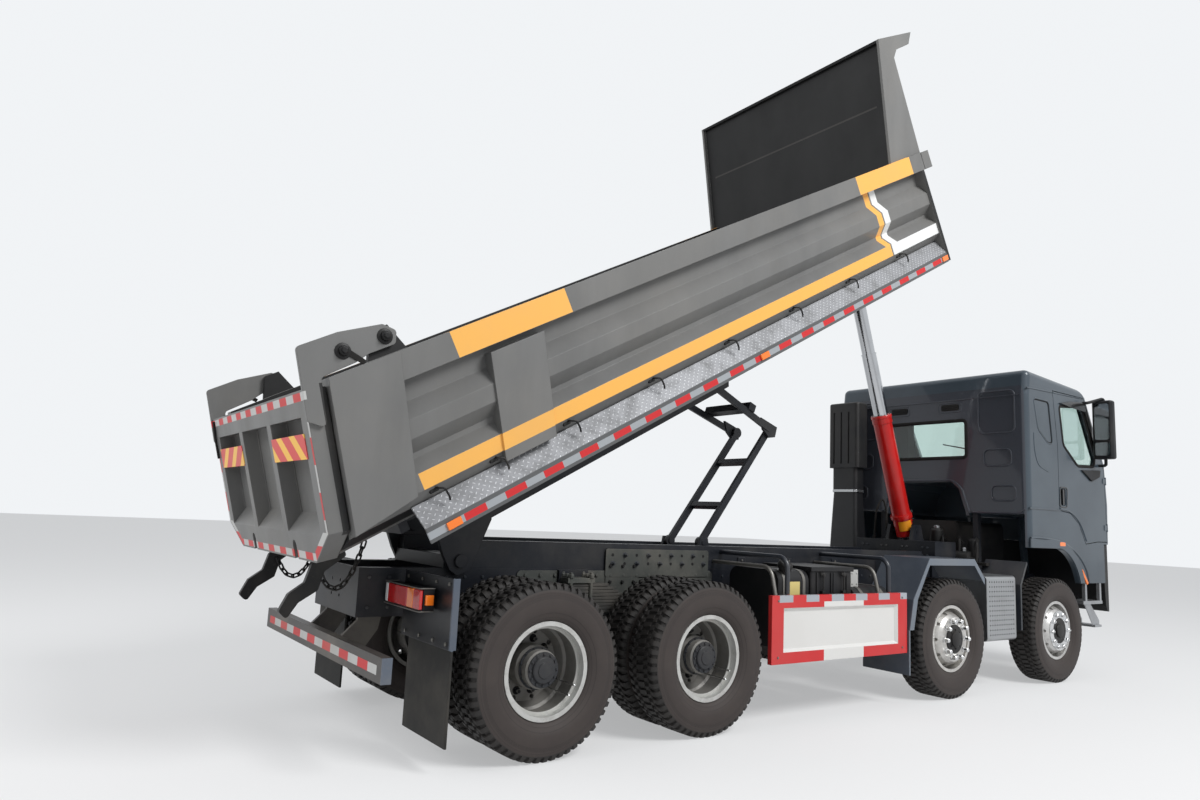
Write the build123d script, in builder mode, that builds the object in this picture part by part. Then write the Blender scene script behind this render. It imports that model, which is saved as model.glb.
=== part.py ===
from build123d import *
import math
import os

# A four-axle dump truck with its bed raised. Sizes are in millimetres.
# The working frame has x = 0 at the rear axle, +X forward, +Y to the left and z = 0 on the road.
# Each piece is saved CENTRE_X further back, which puts the origin under the middle of the truck.
CENTRE_X = 3035

# Axles and wheels
AXLE_X = {"rear": 0, "third": 1350, "second": 4400, "first": 6350}
TYRE_RADIUS = 535
TYRE_HALF_WIDTH = 150
TREAD_HALF_WIDTH = 115
RIM_RADIUS = 286
FLANGE_RADIUS = 300
RIM_HALF_WIDTH = 115
RIM_WALL = 14
STEER_WHEEL_Y = 1085
OUTER_TWIN_Y = 1100
INNER_TWIN_Y = 755
STUD_CIRCLE_RADIUS = 167.5
STUD_RADIUS = 13
STUD_COUNT = 10
HUB_RADIUS = 100
DRUM_RADIUS = 205
DRUM_WALL = 14
STEER_SPINDLE_RADIUS = 45
DRIVE_SPINDLE_RADIUS = 60
RUNNING_GAP = 0.3
SEAT_GAP = 0.3
KINGPIN_Y = 915
KINGPIN_RADIUS = 25

# Chassis rails and the tipping subframe on them
RAIL_OUTER_Y = 420
RAIL_FLANGE = 80
RAIL_TOP = 1100
RAIL_HEIGHT = 310
RAIL_PLATE = 10
RAIL_REAR_X = -950
RAIL_FRONT_X = 7290
SUBFRAME_TOP = 1290
SUBFRAME_REAR_X = -350
SUBFRAME_FRONT_X = 5130

# Bed, in its own frame: a forward along the floor from the hinge, b up from it
REST_TILT = 28.5
BED_HINGE_X = -270
BED_PIN_RADIUS = 45
BED_HINGE_Z = RAIL_TOP + BED_PIN_RADIUS + 5
BED_HALF_WIDTH = 1240
RIB_Y = BED_HALF_WIDTH - 15
WALL_Y = BED_HALF_WIDTH - 90
INNER_Y = WALL_Y - 30
FLOOR_HALF_WIDTH = BED_HALF_WIDTH - 380
FLOOR_B = 540
FLOOR_PLATE = 30
WALL_LOW_B = 620
SKIRT_LOW_B = 396
RAIL_TOP_B = 1476
TOP_RAIL_LOW_B = 1310
BED_FRONT_A = 5500
RAIL_END_A = 5700
REAR_LEAN = 13.4
TAILGATE_TOP_A = -736
TAILGATE_DEPTH = 120
TAILGATE_HEIGHT = 964
TAILGATE_HALF_WIDTH = BED_HALF_WIDTH - 50
TAILGATE_GAP = 6
TAILGATE_PIVOT_A = -205
TAILGATE_PIVOT_B = 1580
TAILGATE_PIN_RADIUS = 25
FRONT_WALL_LEAN = 19.5
FRONT_WALL_A = 5125
FRONT_WALL_TOP_B = 2578
FRONT_WALL_PLATE = 40
HOIST_NOTCH_A = 5275
HOIST_NOTCH_HALF = 115
BEAM_OUTER_Y = 430
BEAM_WIDTH = 80
BEAM_LOW_B = 149

# Telescopic hoist: foot on the chassis, eye on the front wall of the bed
HOIST_FOOT_X = 5440
HOIST_FOOT_Z = 1500
HOIST_EYE_A = 5930
HOIST_EYE_B = 1780
BARREL_RADIUS = 100
BARREL_LENGTH = 1335
STAGE_RADII = (78, 71, 64, 57)
STAGE_WALL = 6
STAGE_LENGTH = 1250
STAGE_REACH = 704

# Stabiliser: two arms that unfold between the subframe and the bed
LOWER_ARM_FOOT = (2160, 1310)
UPPER_ARM_PIVOT = (2880, 190)
LOWER_ARM_LENGTH = 1350
UPPER_ARM_LENGTH = 870
ARM_PIN_RADIUS = 25
LOWER_ARM_OUTER_Y = 225

# Cab
CAB_REAR_X = 5850
CAB_HALF_WIDTH = 1200
CAB_WALL = 50
CAB_FLOOR_Z = 1730
CAB_ROOF_Z = 3280
CAB_NOSE_X = 7660
CAB_PIVOT_X = 7450
CAB_PIVOT_Z = 1010
CAB_PIN_RADIUS = 30
ROOF_ROUNDING = 70
NOSE_ROUNDING = 40
DOOR_GAP = 8
DOOR_HINGE_X = 7603
DOOR_HINGE_Y = CAB_HALF_WIDTH + 3
DOOR_PIN_RADIUS = 6
HANDLE = (6590, 1945)
DOOR_HINGE_Z = (1640, 2180)
REAR_WINDOW_HALF_WIDTH = 515
REAR_WINDOW_LOW_Z = 2343
REAR_WINDOW_TOP_Z = 2765

os.makedirs("parts", exist_ok=True)

BED_PLACE = Location((BED_HINGE_X, 0, BED_HINGE_Z), (0, -REST_TILT, 0))


def save(piece, name, place=Location()):
    """Move a finished piece from its working frame to the truck's, name it and write it."""
    solid = piece.moved(Location((-CENTRE_X, 0, 0)) * place)
    solid.label = name
    export_step(solid, f"parts/{name}.step")


def bed_point(a, b):
    """The x and z, in the working frame, of a point of the raised bed."""
    tilt = math.radians(REST_TILT)
    x = BED_HINGE_X + a * math.cos(tilt) - b * math.sin(tilt)
    z = BED_HINGE_Z + a * math.sin(tilt) + b * math.cos(tilt)
    return x, z


def side_profile(points, low_y, high_y, mode=Mode.ADD, radius=0):
    """A plate with an outline in x and z that fills low_y to high_y, its corners rounded by a radius."""
    with BuildSketch(Plane.XZ.offset(-high_y)) as outline:
        with BuildLine():
            Polyline(*points, close=True)
        make_face()
        if radius > 0:
            fillet(outline.vertices(), radius)
    extrude(outline.sketch, amount=high_y - low_y, mode=mode)


def both_sides(inner_y, outer_y):
    """The low and high y of a piece on the right, then of its twin on the left."""
    return (-outer_y, -inner_y), (inner_y, outer_y)


def side_bore(x, z, radius, low_y, high_y):
    """Bore a round hole along y."""
    with BuildSketch(Plane.XZ.offset(-high_y)) as section:
        with Locations((x, z)):
            Circle(radius)
    extrude(section.sketch, amount=high_y - low_y, mode=Mode.SUBTRACT)


def side_pin(x, z, radius, low_y, high_y):
    """Add a round bar along y."""
    with BuildSketch(Plane.XZ.offset(-high_y)) as section:
        with Locations((x, z)):
            Circle(radius)
    extrude(section.sketch, amount=high_y - low_y)


def block(low, high, mode=Mode.ADD):
    """Add a box between two corners."""
    size = [high[i] - low[i] for i in range(3)]
    centre = [(high[i] + low[i]) / 2 for i in range(3)]
    with Locations(tuple(centre)):
        Box(*size, mode=mode)


# Wheels: profiles are in radius and y, turned about the axle
def tyre_ring(centre_y):
    """One tyre as a closed ring with bulged side walls."""
    shoulder = TYRE_RADIUS - 35
    bead = RIM_RADIUS + 1
    with BuildSketch(Plane.XY) as profile:
        with BuildLine():
            for side in (-1, 1):
                bead_y = centre_y + side * (RIM_HALF_WIDTH - 12)
                Line((bead, bead_y), (FLANGE_RADIUS + 1, bead_y))
                ThreePointArc(
                    (FLANGE_RADIUS + 1, bead_y),
                    ((bead + shoulder) / 2, centre_y + side * TYRE_HALF_WIDTH),
                    (shoulder, centre_y + side * (TYRE_HALF_WIDTH - 10)),
                )
                Line(
                    (shoulder, centre_y + side * (TYRE_HALF_WIDTH - 10)),
                    (TYRE_RADIUS, centre_y + side * TREAD_HALF_WIDTH),
                )
            Line((bead, centre_y - RIM_HALF_WIDTH + 12), (bead, centre_y + RIM_HALF_WIDTH - 12))
            Line((TYRE_RADIUS, centre_y - TREAD_HALF_WIDTH), (TYRE_RADIUS, centre_y + TREAD_HALF_WIDTH))
        make_face()
    revolve(profile.sketch, axis=Axis.Y)


def turned(points):
    """Revolve a closed outline of (radius, y) points about the axle."""
    with BuildSketch(Plane.XY) as profile:
        with BuildLine():
            Polyline(*points, close=True)
        make_face()
    revolve(profile.sketch, axis=Axis.Y)


def studs(start_y, length):
    """A circle of wheel studs along the axle."""
    with BuildSketch(Plane.XZ.offset(-start_y - length)) as ring:
        with PolarLocations(STUD_CIRCLE_RADIUS, STUD_COUNT):
            RegularPolygon(STUD_RADIUS, 6)
    extrude(ring.sketch, amount=length)


def drum(inner_y, outer_y):
    """An open brake drum whose closed side faces out."""
    turned([
        (HUB_RADIUS, outer_y), (DRUM_RADIUS, outer_y), (DRUM_RADIUS, inner_y),
        (DRUM_RADIUS - DRUM_WALL, inner_y), (DRUM_RADIUS - DRUM_WALL, outer_y - DRUM_WALL),
        (HUB_RADIUS, outer_y - DRUM_WALL),
    ])


with BuildPart() as steer_tyre:
    tyre_ring(STEER_WHEEL_Y)

with BuildPart() as twin_tyres:
    tyre_ring(OUTER_TWIN_Y)
    tyre_ring(INNER_TWIN_Y)

# The front disc bulges out: its stud ring stands proud of the flange
STEER_DISC_Y = STEER_WHEEL_Y + 142
with BuildPart() as steer_rim:
    low = STEER_WHEEL_Y - RIM_HALF_WIDTH
    high = STEER_WHEEL_Y + RIM_HALF_WIDTH
    inside = RIM_RADIUS - RIM_WALL
    turned([
        (FLANGE_RADIUS, low), (FLANGE_RADIUS, low + 11), (RIM_RADIUS, low + 11),
        (RIM_RADIUS, high - 11), (FLANGE_RADIUS, high - 11), (FLANGE_RADIUS, high),
        (inside, high), (inside, STEER_WHEEL_Y + 30), (222, STEER_DISC_Y - 26), (200, STEER_DISC_Y),
        (105, STEER_DISC_Y), (105, STEER_DISC_Y - 16), (190, STEER_DISC_Y - 16),
        (208, STEER_DISC_Y - 40), (inside - 12, STEER_WHEEL_Y + 8), (inside - 12, STEER_WHEEL_Y - 10),
        (inside, STEER_WHEEL_Y - 22), (inside, low),
    ])
    turned([
        (STEER_SPINDLE_RADIUS + RUNNING_GAP, STEER_WHEEL_Y - 45), (HUB_RADIUS, STEER_WHEEL_Y - 45),
        (HUB_RADIUS, STEER_DISC_Y - 38), (188, STEER_DISC_Y - 38), (188, STEER_DISC_Y - 16),
        (HUB_RADIUS, STEER_DISC_Y - 16), (72, STEER_DISC_Y - 8), (64, STEER_DISC_Y + 6),
        (0, STEER_DISC_Y + 6), (0, STEER_DISC_Y - 14), (STEER_SPINDLE_RADIUS + RUNNING_GAP,
                                                        STEER_DISC_Y - 14),
    ])
    drum(STEER_WHEEL_Y - 130, STEER_WHEEL_Y - 30)
    studs(STEER_DISC_Y, 12)
    with BuildSketch(Plane.XZ.offset(-high)):
        with PolarLocations(238, STUD_COUNT):
            Circle(17)
    extrude(amount=RIM_HALF_WIDTH, mode=Mode.SUBTRACT)

TWIN_JOINT_Y = (OUTER_TWIN_Y + INNER_TWIN_Y) / 2
DISC_PLATE = 14


def twin_rim_outline(side):
    """Outline of one twin rim, dished to the face where the two discs bolt together."""
    outline = [
        (FLANGE_RADIUS, 288), (FLANGE_RADIUS, 277), (RIM_RADIUS, 277), (RIM_RADIUS, 69), (FLANGE_RADIUS, 69),
        (FLANGE_RADIUS, 58), (262, 58), (244, 20), (236, 0), (HUB_RADIUS, 0), (HUB_RADIUS, DISC_PLATE),
        (228, DISC_PLATE), (236, 34), (254, 74), (272, 86), (272, 288),
    ]
    return [(radius, TWIN_JOINT_Y + side * reach) for radius, reach in outline]


with BuildPart() as twin_rims:
    turned(twin_rim_outline(1))
    turned(twin_rim_outline(-1))
    bore = DRIVE_SPINDLE_RADIUS + RUNNING_GAP
    turned([
        (bore, 640), (HUB_RADIUS, 640), (HUB_RADIUS, TWIN_JOINT_Y + DISC_PLATE), (128, TWIN_JOINT_Y + 20),
        (138, TWIN_JOINT_Y + 40), (138, 1060), (118, 1082), (118, 1150), (106, 1164), (0, 1164),
        (0, 1130), (bore, 1130),
    ])
    drum(560, 700)
    studs(TWIN_JOINT_Y + DISC_PLATE, 40)
    with BuildSketch(Plane.XZ.offset(-1200)):
        with PolarLocations(215, STUD_COUNT):
            Circle(16)
    extrude(amount=700, mode=Mode.SUBTRACT)

WHEELS = {"first": (steer_tyre, steer_rim), "second": (steer_tyre, steer_rim),
          "third": (twin_tyres, twin_rims), "rear": (twin_tyres, twin_rims)}
for axle, (tyre, rim) in WHEELS.items():
    hub_centre = Location((AXLE_X[axle], 0, TYRE_RADIUS))
    for side_name, turn in (("left", 0), ("right", 180)):
        place = hub_centre * Location((0, 0, 0), (0, 0, turn))
        save(tyre.part, f"{axle}_axle_{side_name}_tyre", place)
        save(rim.part, f"{axle}_axle_{side_name}_rim", place)

# Steering knuckles: a fork round the beam's end, the kingpin and the wheel spindle
with BuildPart() as knuckle:
    for reach in (95, -95):
        block((-55, KINGPIN_Y - 50, reach - 20), (55, KINGPIN_Y + 78, reach + 20))
    block((-55, KINGPIN_Y + 48, -115), (55, KINGPIN_Y + 78, 115))
    with Locations((0, KINGPIN_Y, 0)):
        Cylinder(KINGPIN_RADIUS, 230)
    side_pin(0, 0, STEER_SPINDLE_RADIUS, KINGPIN_Y + 60, STEER_DISC_Y - 18)
    side_pin(0, 0, DRUM_RADIUS - DRUM_WALL - 6, KINGPIN_Y + 52, KINGPIN_Y + 66)
    block((-260, KINGPIN_Y - 50, -100), (-40, KINGPIN_Y - 10, -80))

for axle in ("first", "second"):
    place = Location((AXLE_X[axle], 0, TYRE_RADIUS))
    save(knuckle.part, f"{axle}_axle_left_knuckle", place)
    save(mirror(knuckle.part, about=Plane.XZ), f"{axle}_axle_right_knuckle", place)

# Steered axles: forged I-beams that drop between the kingpins
BEAM_DROP = 95
with BuildPart() as steer_axle_beams:
    for axle in ("first", "second"):
        x = AXLE_X[axle]
        z = TYRE_RADIUS
        outline = [
            (-KINGPIN_Y + 10, z + 40), (-620, z - BEAM_DROP + 100), (620, z - BEAM_DROP + 100),
            (KINGPIN_Y - 10, z + 40), (KINGPIN_Y - 10, z - 60), (620, z - BEAM_DROP - 20),
            (-620, z - BEAM_DROP - 20), (-KINGPIN_Y + 10, z - 60),
        ]
        with BuildSketch(Plane.YZ.offset(x - 45)):
            with BuildLine():
                Polyline(*outline, close=True)
            make_face()
        extrude(amount=90)
        for side in (-1, 1):
            with Locations((x, side * KINGPIN_Y, z)):
                Cylinder(42, 140)
        for side in (-1, 1):
            with Locations((x, side * KINGPIN_Y, z)):
                Cylinder(KINGPIN_RADIUS + RUNNING_GAP, 150, mode=Mode.SUBTRACT)
save(steer_axle_beams.part, "steer_axle_beams")

# Heights of the bogie springs
LEAF = 22
BOGIE_SPRING_LOW_Z = 645
BOGIE_LEAVES = (700, 640, 560, 470, 370, 270)
BOGIE_SPRING_TOP_Z = BOGIE_SPRING_LOW_Z + LEAF * len(BOGIE_LEAVES)

# Drive axles: banjo housings with the spindles that the twin wheels turn on
with BuildPart() as drive_axles:
    for axle in ("rear", "third"):
        x = AXLE_X[axle]
        z = TYRE_RADIUS
        side_pin(x, z, 85, -630, 630)
        side_pin(x, z, DRIVE_SPINDLE_RADIUS, -1110, 1110)
        side_pin(x, z, DRUM_RADIUS - DRUM_WALL - 6, -585, -572)
        side_pin(x, z, DRUM_RADIUS - DRUM_WALL - 6, 572, 585)
        for side in (-1, 1):
            low_y, high_y = sorted((side * 460, side * 540))
            block((x - 60, low_y, z + 70), (x + 60, high_y, BOGIE_SPRING_LOW_Z - SEAT_GAP))
        with Locations((x, 0, z)):
            Sphere(215)
        with BuildSketch(Plane.YZ.offset(x + 120)):
            with Locations((0, z + 40)):
                Circle(110)
        extrude(amount=190)
    # Propeller shafts: one between the axles, one up to the gearbox
    with BuildSketch(Plane.YZ.offset(AXLE_X["rear"] + 300)):
        with Locations((0, TYRE_RADIUS + 40)):
            Circle(55)
    extrude(amount=AXLE_X["third"] - AXLE_X["rear"] - 480)
    shaft_start = (AXLE_X["third"] + 300, 0, TYRE_RADIUS + 40)
    shaft_end = (5970, 0, 790)
    with BuildSketch(Plane(origin=shaft_start, z_dir=[shaft_end[i] - shaft_start[i] for i in range(3)])):
        Circle(60)
    extrude(amount=math.dist(shaft_start, shaft_end))
save(drive_axles.part, "drive_axles")

# Leaf springs: stacks of leaves, each shorter than the one it lies on
with BuildPart() as leaf_springs:
    for side in (-1, 1):
        for axle in ("first", "second"):
            x = AXLE_X[axle]
            low_y = side * 380 - 40
            high_y = side * 380 + 40
            for leaf, half_length in enumerate((760, 600, 440, 280)):
                top = RAIL_TOP - RAIL_HEIGHT - 70 - leaf * LEAF
                block((x - half_length, low_y, top - LEAF), (x + half_length, high_y, top))
            block((x - 90, low_y, TYRE_RADIUS - BEAM_DROP + 100), (x + 90, high_y, top - LEAF))
            for end in (-730, 730):
                block((x + end - 30, low_y + 5, RAIL_TOP - RAIL_HEIGHT - 75),
                      (x + end + 30, high_y - 5, RAIL_TOP - RAIL_HEIGHT - SEAT_GAP))
        middle = (AXLE_X["rear"] + AXLE_X["third"]) / 2
        for leaf, half_length in enumerate(BOGIE_LEAVES):
            low = BOGIE_SPRING_LOW_Z + leaf * LEAF
            block((middle - half_length, side * 500 - 45, low), (middle + half_length, side * 500 + 45,
                                                                 low + LEAF))
save(leaf_springs.part, "leaf_springs")

# Ladder frame: two channel rails and the cross members between them
with BuildPart() as chassis_frame:
    length = RAIL_FRONT_X - RAIL_REAR_X
    for side in (-1, 1):
        outer = side * RAIL_OUTER_Y
        inner = side * (RAIL_OUTER_Y - RAIL_FLANGE)
        web = side * (RAIL_OUTER_Y - RAIL_PLATE)
        low = RAIL_TOP - RAIL_HEIGHT
        with BuildSketch(Plane.YZ.offset(RAIL_REAR_X)):
            with BuildLine():
                Polyline(
                    (outer, low), (inner, low), (inner, low + RAIL_PLATE), (web, low + RAIL_PLATE),
                    (web, RAIL_TOP - RAIL_PLATE), (inner, RAIL_TOP - RAIL_PLATE), (inner, RAIL_TOP),
                    (outer, RAIL_TOP), close=True,
                )
            make_face()
        extrude(amount=length)
    half = RAIL_OUTER_Y - RAIL_PLATE
    for x in (-520, 675, 2100, 3300, 5200, 7080):
        block((x - 60, -half, low + 60), (x + 60, half, RAIL_TOP - 60))
    block((RAIL_REAR_X, -half, low), (RAIL_REAR_X + 20, half, RAIL_TOP))
    with BuildSketch(Plane.YZ.offset(RAIL_REAR_X)):
        with Locations((0, RAIL_TOP - RAIL_HEIGHT / 2)):
            with GridLocations(160, 100, 2, 2):
                Circle(10.5)
    extrude(amount=20, mode=Mode.SUBTRACT)
    # Bogie trunnion brackets carry the rear springs
    for side in (-1, 1):
        middle = (AXLE_X["rear"] + AXLE_X["third"]) / 2
        block((middle - 130, min(side * 420, side * 455), 640), (middle + 130, max(side * 420, side * 455),
                                                                 1090))
        low_y, high_y = sorted((side * 430, side * 545))
        block((middle - 110, low_y, BOGIE_SPRING_TOP_Z + SEAT_GAP), (middle + 110, high_y, 850))
    # Cab pivots at the nose and the cab's rear rests
    for side in (-1, 1):
        low_y, high_y = sorted((side * 341, side * 412))
        side_profile([(7220, 880), (7330, 880), (7425, 965), (7470, 972), (7490, 1010), (7478, 1042), (7450,
                                                                                                       1055),
                      (7415, 1052), (7220, 1085)], low_y, high_y)
        low_y, high_y = sorted((side * 290, side * 400))
        side_pin(CAB_PIVOT_X, CAB_PIVOT_Z, CAB_PIN_RADIUS, low_y, high_y)
        low_y, high_y = sorted((side * (RAIL_OUTER_Y - 5), side * 620))
        block((5880, low_y, 1000), (5940, high_y, 1090))
        low_y, high_y = sorted((side * 560, side * 620))
        block((5880, low_y, 1000), (5940, high_y, CAB_FLOOR_Z - 5))
save(chassis_frame.part, "chassis_frame")

# Tipping subframe, with the hinge shaft of the bed and the seat of the stabiliser
ARM_EAR_LOW_Y = LOWER_ARM_OUTER_Y + 5
with BuildPart() as tipper_subframe:
    for side in (-1, 1):
        inner, outer = sorted((side * (RAIL_OUTER_Y - RAIL_FLANGE), side * RAIL_OUTER_Y))
        block((SUBFRAME_REAR_X, inner, RAIL_TOP), (SUBFRAME_FRONT_X, outer, SUBFRAME_TOP))
    for x in (300, 1300, 3300, 4300, 5050):
        block((x - 50, -RAIL_OUTER_Y + RAIL_FLANGE, 1120), (x + 50, RAIL_OUTER_Y - RAIL_FLANGE, 1240))
    foot_x, foot_z = LOWER_ARM_FOOT
    block((foot_x - 80, -RAIL_OUTER_Y + RAIL_FLANGE, 1110), (foot_x + 80, RAIL_OUTER_Y - RAIL_FLANGE, 1235))
    for side in (-1, 1):
        low_y, high_y = sorted((side * ARM_EAR_LOW_Y, side * (ARM_EAR_LOW_Y + 25)))
        side_profile([(foot_x - 70, 1230), (foot_x + 70, 1230), (foot_x + 45, foot_z + 40),
                      (foot_x - 45, foot_z + 40)], low_y, high_y)
        low_y, high_y = sorted((side * (LOWER_ARM_OUTER_Y - 45), side * (ARM_EAR_LOW_Y + 30)))
        side_pin(foot_x, foot_z, ARM_PIN_RADIUS, low_y, high_y)
    side_pin(BED_HINGE_X, BED_HINGE_Z, BED_PIN_RADIUS, -490, 490)
    block((BED_HINGE_X - 100, -RAIL_OUTER_Y, RAIL_TOP), (BED_HINGE_X + 60, RAIL_OUTER_Y, BED_HINGE_Z + 40))
save(tipper_subframe.part, "tipper_subframe")

with BuildPart() as engine:
    block((5980, -330, 640), (6930, 330, 1640))
    fillet(engine.edges().filter_by(Axis.X), radius=60)
    for side in (-1, 1):
        low_y, high_y = sorted((side * 320, side * (RAIL_OUTER_Y - RAIL_PLATE - SEAT_GAP)))
        block((6100, low_y, 880), (6220, high_y, 960))
save(engine.part, "engine")

# Fluid tank, fuel tank and air tanks beside the rails
with BuildPart() as tanks:
    with BuildSketch(Plane.YZ.offset(2200)):
        with Locations((-810, 840)):
            RectangleRounded(540, 600, 90)
    extrude(amount=360)
    with BuildSketch(Plane.YZ.offset(3160)):
        with Locations((-800, 740)):
            RectangleRounded(560, 520, 110)
    extrude(amount=480)
    for x in (2290, 2470, 3260, 3540):
        block((x - 30, -560, 820), (x + 30, -RAIL_OUTER_Y, 960))
    for x in (2150, 2950):
        with BuildSketch(Plane.YZ.offset(x)):
            with Locations((640, 850)):
                Circle(150)
        extrude(amount=700)
        block((x + 300, RAIL_OUTER_Y, 800), (x + 400, 520, 900))
save(tanks.part, "tanks")

with BuildPart() as battery_box:
    block((2590, -1080, 560), (3110, -560, 1150))
    fillet(battery_box.edges().filter_by(Axis.Z), radius=20)
    block((2640, -560, 800), (2740, -RAIL_OUTER_Y, 980))
    block((2960, -560, 800), (3060, -RAIL_OUTER_Y, 980))
save(battery_box.part, "battery_box")

# Air intake stack at the left, behind the cab
INTAKE_X = 5660
INTAKE_Y = 940
INTAKE_CLAMP_Z = 1955
with BuildPart() as air_intake:
    # Hood, duct and a foot that widens down to the filter
    with BuildSketch(Plane.XY.offset(2240)):
        with Locations((INTAKE_X, INTAKE_Y)):
            RectangleRounded(220, 440, 45)
    extrude(amount=810)
    fillet(air_intake.faces().sort_by(Axis.Z)[-1].edges(), radius=25)
    with BuildSketch(Plane.XY.offset(INTAKE_CLAMP_Z)):
        with Locations((INTAKE_X, INTAKE_Y)):
            RectangleRounded(180, 360, 45)
    extrude(amount=290)
    with BuildSketch(Plane.XY.offset(INTAKE_CLAMP_Z - 15)):
        with Locations((INTAKE_X, INTAKE_Y)):
            RectangleRounded(192, 372, 50)
    extrude(amount=30)
    for height, width, depth in ((1250, 230, 410), (1500, 215, 385), (INTAKE_CLAMP_Z - 15, 170, 345)):
        with BuildSketch(Plane.XY.offset(height)):
            with Locations((INTAKE_X, INTAKE_Y)):
                RectangleRounded(width, depth, 45)
    loft(ruled=True)
    # Long grooves down the back of the hood and slits in its outer side
    for y in (INTAKE_Y - 90, INTAKE_Y + 20, INTAKE_Y + 130):
        block((INTAKE_X - 120, y - 12, 2290), (INTAKE_X - 98, y + 12, 2930), mode=Mode.SUBTRACT)
    for step in range(9):
        z = 2320 + step * 72
        block((INTAKE_X - 60, INTAKE_Y + 205, z), (INTAKE_X + 60, INTAKE_Y + 225, z + 26), mode=Mode.SUBTRACT)
    block((5660, RAIL_OUTER_Y, 1190), (5740, 900, 1260))
    block((5660, RAIL_OUTER_Y, 1000), (5740, 470, 1260))
save(air_intake.part, "air_intake")

with BuildPart() as silencer:
    block((5030, -1190, 470), (5560, -700, 1100))
    fillet(silencer.edges().filter_by(Axis.X), radius=40)
    block((5150, -700, 850), (5250, -RAIL_OUTER_Y, 940))
    block((5400, -700, 850), (5500, -RAIL_OUTER_Y, 940))
save(silencer.part, "silencer")

# Mudguards over the second axle and behind the first, and the flaps behind the rear wheels
GUARD_OUTLINE = [(3700, 640), (3760, 900), (4010, 1260), (4740, 1260), (4910, 1080)]
GUARD_LIP = 62
FLAP_X = -650
FLAP_TOP_Z = 690
FLAP_OUTER_Y = 1210
with BuildPart() as mudguards:
    for side in (-1, 1):
        low_y, high_y = sorted((side * 760, side * 1240))
        with BuildSketch(Plane.XZ.offset(-high_y)):
            with BuildLine():
                Polyline(*GUARD_OUTLINE)
                Polyline(*[(x, z - 25) if z > 1000 else (x + 25, z) for x, z in GUARD_OUTLINE])
                Line((3700, 640), (3725, 640))
                Line((4910, 1080), (4910, 1055))
            make_face()
        extrude(amount=high_y - low_y)
        lip_y = side * 1237
        with BuildSketch(Plane.XZ.offset(-lip_y - 3)):
            with BuildLine():
                Polyline(*GUARD_OUTLINE)
                Polyline(*[(x, z - GUARD_LIP) if z > 1000 else (x + GUARD_LIP, z) for x, z in GUARD_OUTLINE])
                Line((3700, 640), (3700 + GUARD_LIP, 640))
                Line((4910, 1080), (4910, 1080 - GUARD_LIP))
            make_face()
        extrude(amount=6)
        block((3690, low_y, 260), (3705, high_y, 640))
        arm_low, arm_high = sorted((side * RAIL_OUTER_Y, side * 770))
        block((4340, arm_low, 1180), (4400, arm_high, 1235))
        block((4340, arm_low, 1050), (4400, side * RAIL_OUTER_Y + 30 if side > 0 else -RAIL_OUTER_Y, 1235))
        # Rear half of the first axle's arch
        low_y, high_y = sorted((side * 760, side * 1200))
        side_profile([(5640, 560), (5665, 560), (5665, 1000), (5790, 1220), (5775, 1240), (5640, 1010)],
                     low_y, high_y)
        arm_low, arm_high = sorted((side * (RAIL_OUTER_Y + SEAT_GAP), side * 765))
        block((5640, arm_low, 900), (5665, arm_high, 940))
        # Rear flaps below folded bracket plates
        low_y, high_y = sorted((side * 600, side * FLAP_OUTER_Y))
        block((FLAP_X - 7, low_y, 150), (FLAP_X + 7, high_y, FLAP_TOP_Z + 30))
        low_y, high_y = sorted((side * 500, side * FLAP_OUTER_Y))
        block((FLAP_X - 17, low_y, FLAP_TOP_Z), (FLAP_X - 5, high_y, 1095))
        low_y, high_y = sorted((side * (FLAP_OUTER_Y - 10), side * FLAP_OUTER_Y))
        block((FLAP_X - 17, low_y, FLAP_TOP_Z), (FLAP_X + 25, high_y, 1095))
        arm_low, arm_high = sorted((side * RAIL_OUTER_Y, side * 520))
        block((FLAP_X - 10, arm_low, 930), (FLAP_X + 40, arm_high, 1010))
save(mudguards.part, "mudguards")

with BuildPart() as lamps:
    for side in (-1, 1):
        low_y, high_y = sorted((side * 460, side * 1010))
        block((-760, low_y, 892), (-690, high_y, 1018))
        block((-690, side * 800 - 60, 930), (FLAP_X - 17 - SEAT_GAP, side * 800 + 60, 980))
save(lamps.part, "lamps")

with BuildPart() as underrun_bar:
    block((-1060, -1205, 530), (-1000, 1205, 670))
    for side in (-1, 1):
        low_y, high_y = sorted((side * 300, side * 330))
        side_profile([(-1000, 530), (-1000, 660), (-900, 760), (-860, 1000), (-700, 1000), (-760, 700),
                      (-860, 560)], low_y, high_y)
        low_y, high_y = sorted((side * 330, side * 410))
        block((-860, low_y, 880), (-720, high_y, 960))
save(underrun_bar.part, "underrun_bar")

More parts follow.
